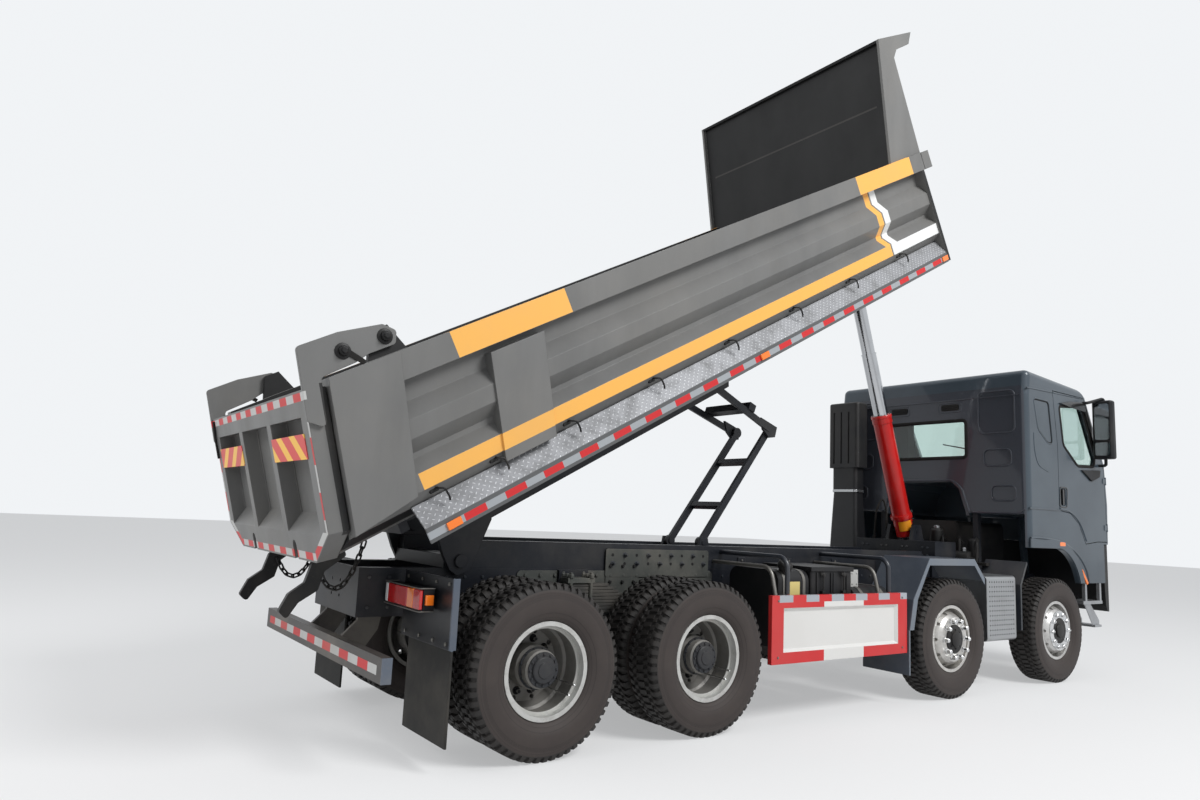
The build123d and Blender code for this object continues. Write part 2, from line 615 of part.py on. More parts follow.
GUARD_X = (1980, 3680)
GUARD_Z = (450, 960)
GUARD_OUTER_Y = 1225
HOOP_X = (2210, 3500)
HOOP_Z = 1245
HOOP_Y = GUARD_OUTER_Y - 59
HOOP_RADIUS = 20
with BuildPart() as side_guards:
    for low_y, high_y in both_sides(GUARD_OUTER_Y - 40, GUARD_OUTER_Y):
        block((GUARD_X[0], low_y, GUARD_Z[0]), (GUARD_X[1], high_y, GUARD_Z[1]))
    # The middle panel lies back behind sloped edges
    for side in (-1, 1):
        middle = ((GUARD_X[0] + GUARD_X[1]) / 2, side * GUARD_OUTER_Y, (GUARD_Z[0] + GUARD_Z[1]) / 2 - 5)
        with BuildSketch(Plane(origin=middle, x_dir=(1, 0, 0), z_dir=(0, -side, 0))):
            Rectangle(1440, 330)
        extrude(amount=24, taper=45, mode=Mode.SUBTRACT)
        # Bent tubes carry the guard from the subframe
        for x in HOOP_X:
            with BuildLine(Plane.YZ.offset(x)) as hoop:
                FilletPolyline((side * (RAIL_OUTER_Y + SEAT_GAP), HOOP_Z), (side * HOOP_Y, HOOP_Z),
                               (side * HOOP_Y, 600),
                               radius=90)
            with BuildSketch(Plane(origin=hoop.line @ 0, z_dir=hoop.line % 0)):
                Circle(HOOP_RADIUS)
            sweep(path=hoop.line)
save(side_guards.part, "side_guards")

# Hoist cross box, with a cradle for the barrel's foot
FOOT_EAR_Y = 130
FOOT_PIN_RADIUS = 30
with BuildPart() as hoist_mount:
    block((5250, -500, 1180), (5640, 500, 1400))
    for side in (-1, 1):
        low_y, high_y = sorted((side * FOOT_EAR_Y, side * (FOOT_EAR_Y + 40)))
        side_profile([(5330, 1400), (5550, 1400), (5500, 1570), (5380, 1570)], low_y, high_y)
        low_y, high_y = sorted((side * 60, side * (FOOT_EAR_Y + 45)))
        side_pin(HOIST_FOOT_X, HOIST_FOOT_Z, FOOT_PIN_RADIUS, low_y, high_y)
        low_y, high_y = sorted((side * RAIL_OUTER_Y, side * 450))
        block((5270, low_y, 950), (5620, high_y, 1190))
save(hoist_mount.part, "hoist_mount")

SKIRT_FRONT_X = 7510
HEADLAMP_LOW = (CAB_HALF_WIDTH - 380, 960)
HEADLAMP_HIGH = (CAB_HALF_WIDTH - 80, 1150)
with BuildPart() as front_bumper:
    side_profile([(7560, 700), (7630, 690), (7700, 900), (7690, 1160), (7620, 1430), (7610, 1450 - SEAT_GAP),
                  (7580, 1450 - SEAT_GAP), (SKIRT_FRONT_X + SEAT_GAP, 1430), (SKIRT_FRONT_X + SEAT_GAP, 1015),
                  (7530, 760)], 10 - CAB_HALF_WIDTH, CAB_HALF_WIDTH - 10)
    for side in (-1, 1):
        low_y, high_y = sorted((side * (HEADLAMP_LOW[0] - 2), side * (HEADLAMP_HIGH[0] + 2)))
        block((7600, low_y, HEADLAMP_LOW[1] - 2), (7750, high_y, HEADLAMP_HIGH[1] + 2), mode=Mode.SUBTRACT)
        # Tapered corners, and an air slot between the lamps
        with BuildSketch(Plane.XY.offset(600)):
            with BuildLine():
                Polyline((7600, side * (CAB_HALF_WIDTH - 9)), (7720, side * (CAB_HALF_WIDTH - 9)),
                         (7720, side * (CAB_HALF_WIDTH - 80)), close=True)
            make_face()
        extrude(amount=900, mode=Mode.SUBTRACT)
    block((7650, -700, 980), (7750, 700, 1120), mode=Mode.SUBTRACT)

with BuildPart() as headlamps:
    for low_y, high_y in both_sides(HEADLAMP_LOW[0], HEADLAMP_HIGH[0]):
        block((7600 + SEAT_GAP, low_y, HEADLAMP_LOW[1]), (7680, high_y, HEADLAMP_HIGH[1]))
save(Compound([front_bumper.part, headlamps.part]), "front_bumper")

with BuildPart() as cab_steps:
    for low_y, high_y in both_sides(CAB_HALF_WIDTH - 240, CAB_HALF_WIDTH - 10):
        block((6990, low_y, 785), (7440, high_y, 820))
        block((7240, low_y, 530), (7400, high_y, 555))
    # Straps up to the cab's skirt, and blades down to the lower tread
    for low_y, high_y in both_sides(CAB_HALF_WIDTH - 45, CAB_HALF_WIDTH - 10):
        for x in (7060, 7400):
            block((x - 20, low_y, 815), (x + 20, high_y, 1015 - SEAT_GAP))
    for inset in (215, 30):
        for low_y, high_y in both_sides(CAB_HALF_WIDTH - inset - 10, CAB_HALF_WIDTH - inset):
            side_profile([(7060, 790), (7190, 790), (7390, 600), (7390, 535), (7250, 535)], low_y, high_y)
save(cab_steps.part, "cab_steps")

# Cab: the side outline in x and z is shared by the outer skin, the doors and the glass
SCREEN_TOP = (7160, 3110)
SCREEN_LOW = (7620, 2290)
ROOF_REAR = (CAB_REAR_X + 35, CAB_ROOF_Z)
ROOF_FRONT = (7020, 3210)
ARCH = ((6480, 1385), (6755, 1250), (6900, 1015))
ARCH_LIP = ((6490, 1470), (6835, 1295), (7000, 1015))
CAB_OUTLINE = [
    ARCH[0], (CAB_REAR_X, 1385), (CAB_REAR_X, 3010), ROOF_REAR, ROOF_FRONT, SCREEN_TOP, SCREEN_LOW,
    (CAB_NOSE_X, 1900), (7640, 1450), (7510, 1450), (7510, 1015), ARCH[2],
]
CAVITY = [
    (CAB_REAR_X + CAB_WALL, CAB_FLOOR_Z + CAB_WALL), (CAB_REAR_X + CAB_WALL, CAB_ROOF_Z - CAB_WALL),
    (7010, 3210 - CAB_WALL), (7110, 3080), (7560, 2275), (7600, 1900), (7580, CAB_FLOOR_Z + CAB_WALL),
]
DOOR_OUTLINE = [
    (6420, 3100), (7120, 3100), (7570, 2290), (7590, 1480), (7370, 1480), (7075, 1450), (6930, 1670),
    (6735, 1780), (6500, 1800), (6500, 2500),
]
WINDOW_OUTLINE = [(6555, 2950), (7080, 3000), (7370, 2450), (7330, 2330), (6940, 2310), (6625, 2520)]


def grown(points, amount):
    """The outline moved outward by an even amount, as a sketch face on the middle plane."""
    with BuildSketch(Plane.XZ) as shape:
        with BuildLine():
            Polyline(*points, close=True)
        make_face()
        offset(amount=amount, kind=Kind.INTERSECTION)
    return shape.sketch


with BuildPart() as cab_skin:
    with BuildSketch(Plane.XZ.offset(-CAB_HALF_WIDTH)):
        with BuildLine():
            Polyline(*CAB_OUTLINE)
            ThreePointArc(ARCH[2], ARCH[1], ARCH[0])
        make_face()
    extrude(amount=2 * CAB_HALF_WIDTH)
    outer_edges = [e for e in cab_skin.edges() if abs(abs(e.center().Y) - CAB_HALF_WIDTH) < 1]
    rear_and_roof = [e for e in outer_edges if e.center().X < 7000 and e.center().Z > 2000]
    rear_top = cab_skin.edges().filter_by(Axis.Y).sort_by(Axis.Z)[-1]
    fillet(rear_and_roof + [rear_top], radius=ROOF_ROUNDING)
    nose = [e for e in cab_skin.edges() if abs(abs(e.center().Y) - CAB_HALF_WIDTH) < 1 and e.center().X > 7610]
    fillet(nose, radius=NOSE_ROUNDING)
    side_profile(CAVITY, -CAB_HALF_WIDTH + CAB_WALL, CAB_HALF_WIDTH - CAB_WALL, mode=Mode.SUBTRACT)
    # Open underside, between the skirts
    block((CAB_REAR_X - 10, -CAB_HALF_WIDTH + CAB_WALL, 1000), (7570, CAB_HALF_WIDTH - CAB_WALL, CAB_FLOOR_Z),
          mode=Mode.SUBTRACT)
    # Rear window
    block((CAB_REAR_X - 10, -REAR_WINDOW_HALF_WIDTH, REAR_WINDOW_LOW_Z),
          (CAB_REAR_X + CAB_WALL + 10, REAR_WINDOW_HALF_WIDTH, REAR_WINDOW_TOP_Z), mode=Mode.SUBTRACT)

SCREEN_SLOPE = math.atan2(SCREEN_LOW[0] - SCREEN_TOP[0], SCREEN_TOP[1] - SCREEN_LOW[1])
SCREEN_PLANE = Plane(
    origin=((SCREEN_TOP[0] + SCREEN_LOW[0]) / 2, 0, (SCREEN_TOP[1] + SCREEN_LOW[1]) / 2),
    x_dir=(0, 1, 0), z_dir=(math.cos(SCREEN_SLOPE), 0, math.sin(SCREEN_SLOPE)),
)
SCREEN_LENGTH = math.dist(SCREEN_TOP, SCREEN_LOW)
SCREEN_WIDTH = 2 * CAB_HALF_WIDTH - 200

with BuildPart() as screen_hole:
    with BuildSketch(SCREEN_PLANE):
        RectangleRounded(SCREEN_WIDTH, SCREEN_LENGTH - 90, 60)
    extrude(amount=80, both=True)

with BuildPart() as door_cutter:
    with BuildSketch(Plane.XZ.offset(-CAB_HALF_WIDTH - 10)):
        add(grown(DOOR_OUTLINE, DOOR_GAP))
    extrude(amount=CAB_WALL + 20)

with BuildPart() as window_cutter:
    side_profile(WINDOW_OUTLINE, CAB_HALF_WIDTH - CAB_WALL - 10, CAB_HALF_WIDTH + 10)

# Rear wall pressings: middle y and z, width, height and depth
REAR_PRESSINGS = (
    (866, 2830, 400, 450, 7), (871, 2331, 300, 170, 7), (930, 1947, 260, 150, 7), (328, 2920, 215, 58, 24),
)
QUARTER_PANEL = [(6000, 2979), (6330, 2975), (6395, 2509), (6290, 2505), (6080, 2640)]
LIP_DEPTH = 12
ROOF_SEAM_Z = 3125
FLAP_SEAT_X = 7612
FLAP_LOW_Z = 1520
FLAP_TOP_Z = 2180
FLAP_HALF_WIDTH = 900
FLAP_PIVOT = (7650, 2178)
FLAP_PIN_RADIUS = 6
FLAP_KNUCKLE_Y = 630

with BuildPart() as cab_shell:
    add(cab_skin.part)
    add(screen_hole.part, mode=Mode.SUBTRACT)
    add(door_cutter.part, mode=Mode.SUBTRACT)
    add(mirror(door_cutter.part, about=Plane.XZ), mode=Mode.SUBTRACT)
    block((FLAP_SEAT_X, -FLAP_HALF_WIDTH - 6, FLAP_LOW_Z - 6), (7800, FLAP_HALF_WIDTH + 6, FLAP_TOP_Z + 6),
          mode=Mode.SUBTRACT)
    # Engine tunnel
    with BuildSketch(Plane.YZ.offset(CAB_REAR_X)):
        with BuildLine():
            Polyline((-500, CAB_FLOOR_Z), (-420, 1990), (-330, 2070), (330, 2070), (420, 1990),
                     (500, CAB_FLOOR_Z), close=True)
        make_face()
        offset(amount=30, kind=Kind.INTERSECTION)
    extrude(amount=1000)
    with BuildSketch(Plane.YZ.offset(CAB_REAR_X - 10)):
        with BuildLine():
            Polyline((-500, CAB_FLOOR_Z - 40), (-500, CAB_FLOOR_Z), (-420, 1990), (-330, 2070), (330, 2070),
                     (420, 1990), (500, CAB_FLOOR_Z), (500, CAB_FLOOR_Z - 40), close=True)
        make_face()
    extrude(amount=980, mode=Mode.SUBTRACT)
    # Lengthwise beads on the roof, between its rear edge and the hatch
    roof_slope = (ROOF_FRONT[1] - ROOF_REAR[1]) / (ROOF_FRONT[0] - ROOF_REAR[0])
    bead_ends = [(x, ROOF_REAR[1] + roof_slope * (x - ROOF_REAR[0])) for x in (5980, 6900)]
    for y in range(-900, 901, 225):
        side_profile([(bead_ends[0][0], bead_ends[0][1] - 5), (bead_ends[1][0], bead_ends[1][1] - 5),
                      (bead_ends[1][0] - 10, bead_ends[1][1] + 8), (bead_ends[0][0] + 10,
                                                                    bead_ends[0][1] + 8)],
                     y - 35, y + 35)
    # Pressed panels and air slots of the rear wall
    for middle_y, middle_z, width, height, depth in REAR_PRESSINGS:
        for side in (-1, 1):
            with BuildSketch(Plane.YZ.offset(CAB_REAR_X - 1)):
                with Locations((side * middle_y, middle_z)):
                    RectangleRounded(width, height, min(width, height) * 0.22)
            extrude(amount=depth + 1, mode=Mode.SUBTRACT)
    for side in (-1, 1):
        # Blind quarter window, the arch's turned lip and the crease above it
        low_y, high_y = sorted((side * (CAB_HALF_WIDTH - 6), side * (CAB_HALF_WIDTH + 1)))
        side_profile(QUARTER_PANEL, low_y, high_y, mode=Mode.SUBTRACT, radius=30)
        low_y, high_y = sorted((side * (CAB_HALF_WIDTH - 2), side * (CAB_HALF_WIDTH + LIP_DEPTH)))
        with BuildSketch(Plane.XZ.offset(-high_y)):
            with BuildLine():
                Line((CAB_REAR_X + 4, ARCH[0][1] + 4), (ARCH[0][0], ARCH[0][1] + 4))
                ThreePointArc((ARCH[0][0], ARCH[0][1] + 4), (ARCH[1][0] + 3, ARCH[1][1] + 3),
                              (ARCH[2][0] + 4, ARCH[2][1]))
                Line((ARCH[2][0] + 4, ARCH[2][1]), ARCH_LIP[2])
                ThreePointArc(ARCH_LIP[2], ARCH_LIP[1], ARCH_LIP[0])
                Polyline(ARCH_LIP[0], (CAB_REAR_X + 4, ARCH_LIP[0][1] + 10), (CAB_REAR_X + 4, ARCH[0][1] + 4))
            make_face()
        extrude(amount=high_y - low_y)
    # Tilt pivot lugs at the front of the frame
    for side in (-1, 1):
        low_y, high_y = sorted((side * 300, side * 335))
        side_profile([(7290, 1740), (7450, 1740), (7500, 1010), (7480, 965), (7450, 955), (7415, 970)],
                     low_y, high_y)
        side_bore(CAB_PIVOT_X, CAB_PIVOT_Z, CAB_PIN_RADIUS + RUNNING_GAP, low_y - 1, high_y + 1)
        # Lugs and pin of the flap's hinge
        for inner_y in (FLAP_KNUCKLE_Y - 42, FLAP_KNUCKLE_Y + 32):
            low_y, high_y = sorted((side * inner_y, side * (inner_y + 10)))
            side_profile([(7606, 2188), (7606, 2235), (7640, 2205), (7662, 2188), (7662, 2176), (7642, 2177)],
                         low_y, high_y)
        low_y, high_y = sorted((side * (FLAP_KNUCKLE_Y - 35), side * (FLAP_KNUCKLE_Y + 35)))
        side_pin(*FLAP_PIVOT, FLAP_PIN_RADIUS, low_y, high_y)
        # Door hinge pins stand in front of the doors
        for z in DOOR_HINGE_Z:
            with Locations((DOOR_HINGE_X, side * DOOR_HINGE_Y, z)):
                Cylinder(DOOR_PIN_RADIUS, 90)
    # Joints between the rear wall, roof, floor, sides and front
    far = 2000
    block((CAB_REAR_X + CAB_WALL, -far, 900), (CAB_REAR_X + CAB_WALL + SEAT_GAP, far, 3400),
          mode=Mode.SUBTRACT)
    for z in (CAB_FLOOR_Z + CAB_WALL, ROOF_SEAM_Z):
        block((CAB_REAR_X + CAB_WALL, -far, z), (7800, far, z + SEAT_GAP), mode=Mode.SUBTRACT)
    for side in (-1, 1):
        low_y, high_y = sorted((side * (CAB_HALF_WIDTH - CAB_WALL - SEAT_GAP),
                                side * (CAB_HALF_WIDTH - CAB_WALL)))
        block((CAB_REAR_X + CAB_WALL, low_y, CAB_FLOOR_Z + CAB_WALL), (7800, high_y, ROOF_SEAM_Z),
              mode=Mode.SUBTRACT)
save(cab_shell.part, "cab_shell")

with BuildPart() as door:
    side_profile(DOOR_OUTLINE, CAB_HALF_WIDTH - CAB_WALL, CAB_HALF_WIDTH)
    add(window_cutter.part, mode=Mode.SUBTRACT)
    # Handle: a bar across a pocket
    with BuildSketch(Plane.XZ.offset(-CAB_HALF_WIDTH - 1)):
        with Locations(HANDLE):
            RectangleRounded(110, 190, 25)
    extrude(amount=24, mode=Mode.SUBTRACT)
    block((HANDLE[0] - 14, CAB_HALF_WIDTH - 24, HANDLE[1] - 80), (HANDLE[0] + 14, CAB_HALF_WIDTH - 4,
                                                                  HANDLE[1] + 80))
    for z in DOOR_HINGE_Z:
        block((7530, CAB_HALF_WIDTH - 10, z - 30), (7565, CAB_HALF_WIDTH + 6, z + 30))
        block((7560, CAB_HALF_WIDTH + SEAT_GAP, z - 30),
              (DOOR_HINGE_X - DOOR_PIN_RADIUS - SEAT_GAP, CAB_HALF_WIDTH + 6, z + 30))

with BuildPart() as door_glass:
    side_profile(WINDOW_OUTLINE, CAB_HALF_WIDTH - 30, CAB_HALF_WIDTH - 20)

MIRROR_MIDDLE = (7275, CAB_HALF_WIDTH + 150, 2745)
MIRROR_SIZE = (110, 220, 670)
MIRROR_TUBE_RADIUS = 17
with BuildPart() as wing_mirror:
    with Locations(MIRROR_MIDDLE):
        Box(*MIRROR_SIZE)
    fillet(wing_mirror.edges().filter_by(Axis.Z), radius=38)
    fillet(wing_mirror.faces().sort_by(Axis.Z)[-1].edges(), radius=26)
    fillet(wing_mirror.faces().sort_by(Axis.Z)[0].edges(), radius=26)
    # Pockets for the main glass and the wide-angle glass
    rear_x = MIRROR_MIDDLE[0] - MIRROR_SIZE[0] / 2
    for low_z, high_z in ((2625, 3045), (2445, 2600)):
        block((rear_x - 1, 1268, low_z), (rear_x + 14, 1432, high_z), mode=Mode.SUBTRACT)
    # Bent tubes from the door's frame into the top and bottom of the housing
    for root_z, root_x, turn_z, tip_z in ((3045, 7100, 3110, 3060), (2352, 7460, 2352, 2430)):
        with BuildLine() as route:
            FilletPolyline(
                (root_x, CAB_HALF_WIDTH + SEAT_GAP, root_z), (root_x, CAB_HALF_WIDTH + 60, root_z),
                (MIRROR_MIDDLE[0] + 15, MIRROR_MIDDLE[1], turn_z), (MIRROR_MIDDLE[0] + 15, MIRROR_MIDDLE[1],
                                                                    tip_z),
                radius=24,
            )
        with BuildSketch(Plane(origin=route.line @ 0, z_dir=route.line % 0)):
            Circle(MIRROR_TUBE_RADIUS)
        sweep(path=route.line)

for side_name in ("left", "right"):
    for piece, name in ((door, "door"), (door_glass, "door_glass"), (wing_mirror, "mirror")):
        shape = piece.part if side_name == "left" else mirror(piece.part, about=Plane.XZ)
        save(shape, f"{side_name}_{name}")

with BuildPart() as cab_glass:
    with BuildSketch(SCREEN_PLANE.offset(-30)):
        RectangleRounded(SCREEN_WIDTH - 2 * SEAT_GAP, SCREEN_LENGTH - 90 - 2 * SEAT_GAP, 60)
    extrude(amount=10)
    block((CAB_REAR_X + 10, -REAR_WINDOW_HALF_WIDTH + SEAT_GAP, REAR_WINDOW_LOW_Z + SEAT_GAP),
          (CAB_REAR_X + 20, REAR_WINDOW_HALF_WIDTH - SEAT_GAP, REAR_WINDOW_TOP_Z - SEAT_GAP))
save(cab_glass.part, "cab_glass")

with BuildPart() as front_flap:
    back_x = FLAP_SEAT_X + SEAT_GAP
    side_profile([(back_x, 2174), (7648, 2174), (7660, 1900), (7644, 1526), (back_x, 1526)],
             -FLAP_HALF_WIDTH, FLAP_HALF_WIDTH)
    for z in (1640, 1760, 1880, 2000):
        block((7634, -FLAP_HALF_WIDTH + 90, z), (7700, FLAP_HALF_WIDTH - 90, z + 62), mode=Mode.SUBTRACT)
    for low_y, high_y in both_sides(FLAP_KNUCKLE_Y - 30, FLAP_KNUCKLE_Y + 30):
        side_pin(*FLAP_PIVOT, 2 * FLAP_PIN_RADIUS, low_y, high_y)
        side_bore(*FLAP_PIVOT, FLAP_PIN_RADIUS + RUNNING_GAP, low_y - 15, high_y + 15)
save(front_flap.part, "front_flap")

STEERING_RAKE = 35
WHEEL_PLANE = Plane(origin=(7040, 690, 2330), x_dir=(0, 1, 0),
                    z_dir=(-math.sin(math.radians(STEERING_RAKE)), 0, math.cos(math.radians(STEERING_RAKE))))
COLUMN_RADIUS = 25
with BuildPart() as dashboard:
    floor_top = CAB_FLOOR_Z + CAB_WALL + SEAT_GAP
    side_profile([(7545, 2240), (7200, 2240), (7150, 2100), (7300, floor_top), (7545, floor_top)],
                 80 - CAB_HALF_WIDTH, CAB_HALF_WIDTH - 80)
    with BuildSketch(WHEEL_PLANE.offset(-120)):
        Circle(45)
    extrude(amount=-180)
    with BuildSketch(WHEEL_PLANE):
        Circle(COLUMN_RADIUS + RUNNING_GAP)
    extrude(amount=-260, mode=Mode.SUBTRACT)

with BuildPart() as seats:
    for side in (-1, 1):
        y = side * 690
        block((6250, y - 240, 2070), (6750, y + 240, 2180))
        block((6200, y - 230, 2180), (6330, y + 230, 2850))
        block((6350, y - 130, floor_top), (6650, y + 130, 2070))
save(Compound([dashboard.part, seats.part]), "cab_interior")

with BuildPart() as steering_wheel:
    with BuildSketch(WHEEL_PLANE):
        Circle(220)
        Circle(190, mode=Mode.SUBTRACT)
        Rectangle(400, 40)
        Circle(50)
    extrude(amount=24)
    with BuildSketch(WHEEL_PLANE):
        Circle(COLUMN_RADIUS)
    extrude(amount=-240)
save(steering_wheel.part, "steering_wheel")

# Bed
REAR_LEAN_RAD = math.radians(REAR_LEAN)
FRONT_LEAN_RAD = math.radians(FRONT_WALL_LEAN)


def rear_a(b, ahead=0):
    """The a of the tailgate's outer plane at height b, moved ahead by a distance square to it."""
    return TAILGATE_TOP_A + (b - 1467) * math.tan(REAR_LEAN_RAD) + ahead / math.cos(REAR_LEAN_RAD)


def front_a(b):
    """The a of the front wall's inner face at height b."""
    return FRONT_WALL_A + (b - 1504) * math.tan(FRONT_LEAN_RAD)


# Half section of the trough in y and b, outside then inside
SECTION = [
    (0, FLOOR_B - FLOOR_PLATE), (FLOOR_HALF_WIDTH, FLOOR_B - FLOOR_PLATE), (WALL_Y, WALL_LOW_B), (RIB_Y, 690),
    (RIB_Y, 790), (WALL_Y, 870), (WALL_Y, 900), (RIB_Y, 985), (RIB_Y, 1090), (WALL_Y, 1190),
    (WALL_Y, TOP_RAIL_LOW_B), (BED_HALF_WIDTH, TOP_RAIL_LOW_B), (BED_HALF_WIDTH, RAIL_TOP_B),
    (INNER_Y, RAIL_TOP_B), (INNER_Y, 640), (FLOOR_HALF_WIDTH - 15, FLOOR_B), (0, FLOOR_B),
]
with BuildPart() as bed_body:
    with BuildSketch(Plane.YZ.offset(-1000)):
        with BuildLine():
            Polyline(*SECTION, close=True)
        make_face()
        mirror(about=Plane.YZ)
    extrude(amount=BED_FRONT_A + 1000)
    # Rear edges lean with the tailgate
    step = TAILGATE_DEPTH + TAILGATE_GAP
    side_profile_cut = [(-1300, 300), (rear_a(300, step), 300), (rear_a(1700, step), 1700), (-1300, 1700)]
    side_profile(side_profile_cut, -1300, 1300, mode=Mode.SUBTRACT)
    # Front wall and its fins
    side_profile([(front_a(FLOOR_B - 20), FLOOR_B - 20), (front_a(FLOOR_B - 20) + FRONT_WALL_PLATE,
                                                          FLOOR_B - 20),
              (front_a(RAIL_TOP_B) + FRONT_WALL_PLATE, RAIL_TOP_B), (front_a(RAIL_TOP_B), RAIL_TOP_B)],
             -INNER_Y, INNER_Y)
    side_profile([(front_a(RAIL_TOP_B), RAIL_TOP_B), (front_a(RAIL_TOP_B) + FRONT_WALL_PLATE, RAIL_TOP_B),
              (front_a(FRONT_WALL_TOP_B) + FRONT_WALL_PLATE, FRONT_WALL_TOP_B),
              (front_a(FRONT_WALL_TOP_B), FRONT_WALL_TOP_B)], -TAILGATE_HALF_WIDTH, TAILGATE_HALF_WIDTH)
    for side in (-1, 1):
        low_y, high_y = sorted((side * TAILGATE_HALF_WIDTH, side * (TAILGATE_HALF_WIDTH + 25)))
        side_profile([(front_a(RAIL_TOP_B) - 40, RAIL_TOP_B), (front_a(2540) - 40, 2540), (5470, 2600),
                      (6050, 2600),
                      (5955, 2494), (5720, 2470), (5640, 2400), (5600, RAIL_TOP_B)], low_y, high_y)
        # Rear posts, mid posts and front end plates
        low_y, high_y = sorted((side * (WALL_Y - 5), side * (BED_HALF_WIDTH + 5)))
        side_profile([(rear_a(1476, step), 1476), (-162, 1476), (-398, 675), (rear_a(631, step), 631)],
                     low_y, high_y)
        low_y, high_y = sorted((side * (WALL_Y - 5), side * BED_HALF_WIDTH))
        side_profile([(380, 1271), (797, 1271), (603, 623), (204, 623)], low_y, high_y)
        side_profile([(BED_FRONT_A, 400), (BED_FRONT_A + 40, 400), (BED_FRONT_A + 40, RAIL_TOP_B),
                      (BED_FRONT_A, RAIL_TOP_B)], min(side * INNER_Y, side * BED_HALF_WIDTH),
                     max(side * INNER_Y, side * BED_HALF_WIDTH))
        # Rail's end piece, marked off by a groove
        low_y, high_y = sorted((side * INNER_Y, side * BED_HALF_WIDTH))
        block((BED_FRONT_A, low_y, TOP_RAIL_LOW_B), (RAIL_END_A, high_y, RAIL_TOP_B))
        low_y, high_y = sorted((side * (BED_HALF_WIDTH - 10), side * (BED_HALF_WIDTH + 10)))
        block((BED_FRONT_A + 60, low_y, 1300), (BED_FRONT_A + 68, high_y, 1500), mode=Mode.SUBTRACT)
        # Tailgate hinge ears and pins
        low_y, high_y = sorted((side * (WALL_Y - 10), side * (WALL_Y + 30)))
        side_profile([(-340, RAIL_TOP_B), (-90, RAIL_TOP_B), (-150, 1640), (-260, 1640)], low_y, high_y)
        low_y, high_y = sorted((side * (WALL_Y - 10), side * (BED_HALF_WIDTH - 8)))
        side_pin(TAILGATE_PIVOT_A, TAILGATE_PIVOT_B, TAILGATE_PIN_RADIUS, low_y, high_y)
    # Stiffeners on the front of the wall: two uprights and the bars across them
    def wall_front(b, proud=0):
        return front_a(b) + FRONT_WALL_PLATE + proud, b

    for low_y, high_y in both_sides(420, 500):
        side_profile([wall_front(600, -5), wall_front(2540, -5), wall_front(2540, 25), wall_front(2400, 60),
                      wall_front(600, 60)], low_y, high_y)
    for b in (860, 1240, 2060, 2330):
        side_profile([wall_front(b - 45, -5), wall_front(b + 45, -5), wall_front(b + 25, 50),
                      wall_front(b - 25, 50)],
                     10 - INNER_Y, INNER_Y - 10)
    block((HOIST_NOTCH_A, -HOIST_NOTCH_HALF, 450), (BED_FRONT_A + 50, HOIST_NOTCH_HALF, 560),
          mode=Mode.SUBTRACT)
    # Top flange over the cab
    side_profile([(5470, 2600), (6050, 2600), (6030, 2575), (5470, 2575)],
                 -TAILGATE_HALF_WIDTH, TAILGATE_HALF_WIDTH)
    # Hoist eye bracket on the front wall
    for side in (-1, 1):
        low_y, high_y = sorted((side * 132, side * 160))
        side_profile([(front_a(1550) + 30, 1550), (HOIST_EYE_A + 60, 1690), (HOIST_EYE_A + 60, 1870),
                      (front_a(2150) + 30, 2150)], low_y, high_y)
        low_y, high_y = sorted((side * 128, side * 165))
        side_pin(HOIST_EYE_A, HOIST_EYE_B, 40, low_y, high_y)
save(bed_body.part, "bed_body", BED_PLACE)

with BuildPart() as bed_skirts:
    lip_inner = BED_HALF_WIDTH - 12
    for side in (-1, 1):
        with BuildSketch(Plane.YZ.offset(-430)):
            with BuildLine():
                Polyline((side * (WALL_Y + 0.2), WALL_LOW_B - SEAT_GAP),
                         (side * (WALL_Y + 16), WALL_LOW_B - SEAT_GAP), (side * BED_HALF_WIDTH, 490),
                         (side * BED_HALF_WIDTH, SKIRT_LOW_B), (side * lip_inner, SKIRT_LOW_B),
                         (side * lip_inner, 486), (side * (WALL_Y + 8), WALL_LOW_B - 12),
                         (side * (WALL_Y + 0.2), WALL_LOW_B - 12), close=True)
            make_face()
        extrude(amount=BED_FRONT_A + 430 - 2)
        for a in (-300, 900, 2100, 3300, 4500, 5400):
            with BuildSketch(Plane.YZ.offset(a)):
                with BuildLine():
                    Polyline((side * (WALL_Y + 8), WALL_LOW_B - 10), (side * (lip_inner + 2), 490),
                             (side * (lip_inner + 2), 410), (side * WALL_Y, 410),
                             (side * (FLOOR_HALF_WIDTH + 40), 505), (side * WALL_Y, WALL_LOW_B - 18),
                             close=True)
                make_face()
            extrude(amount=8)
save(bed_skirts.part, "bed_skirts", BED_PLACE)

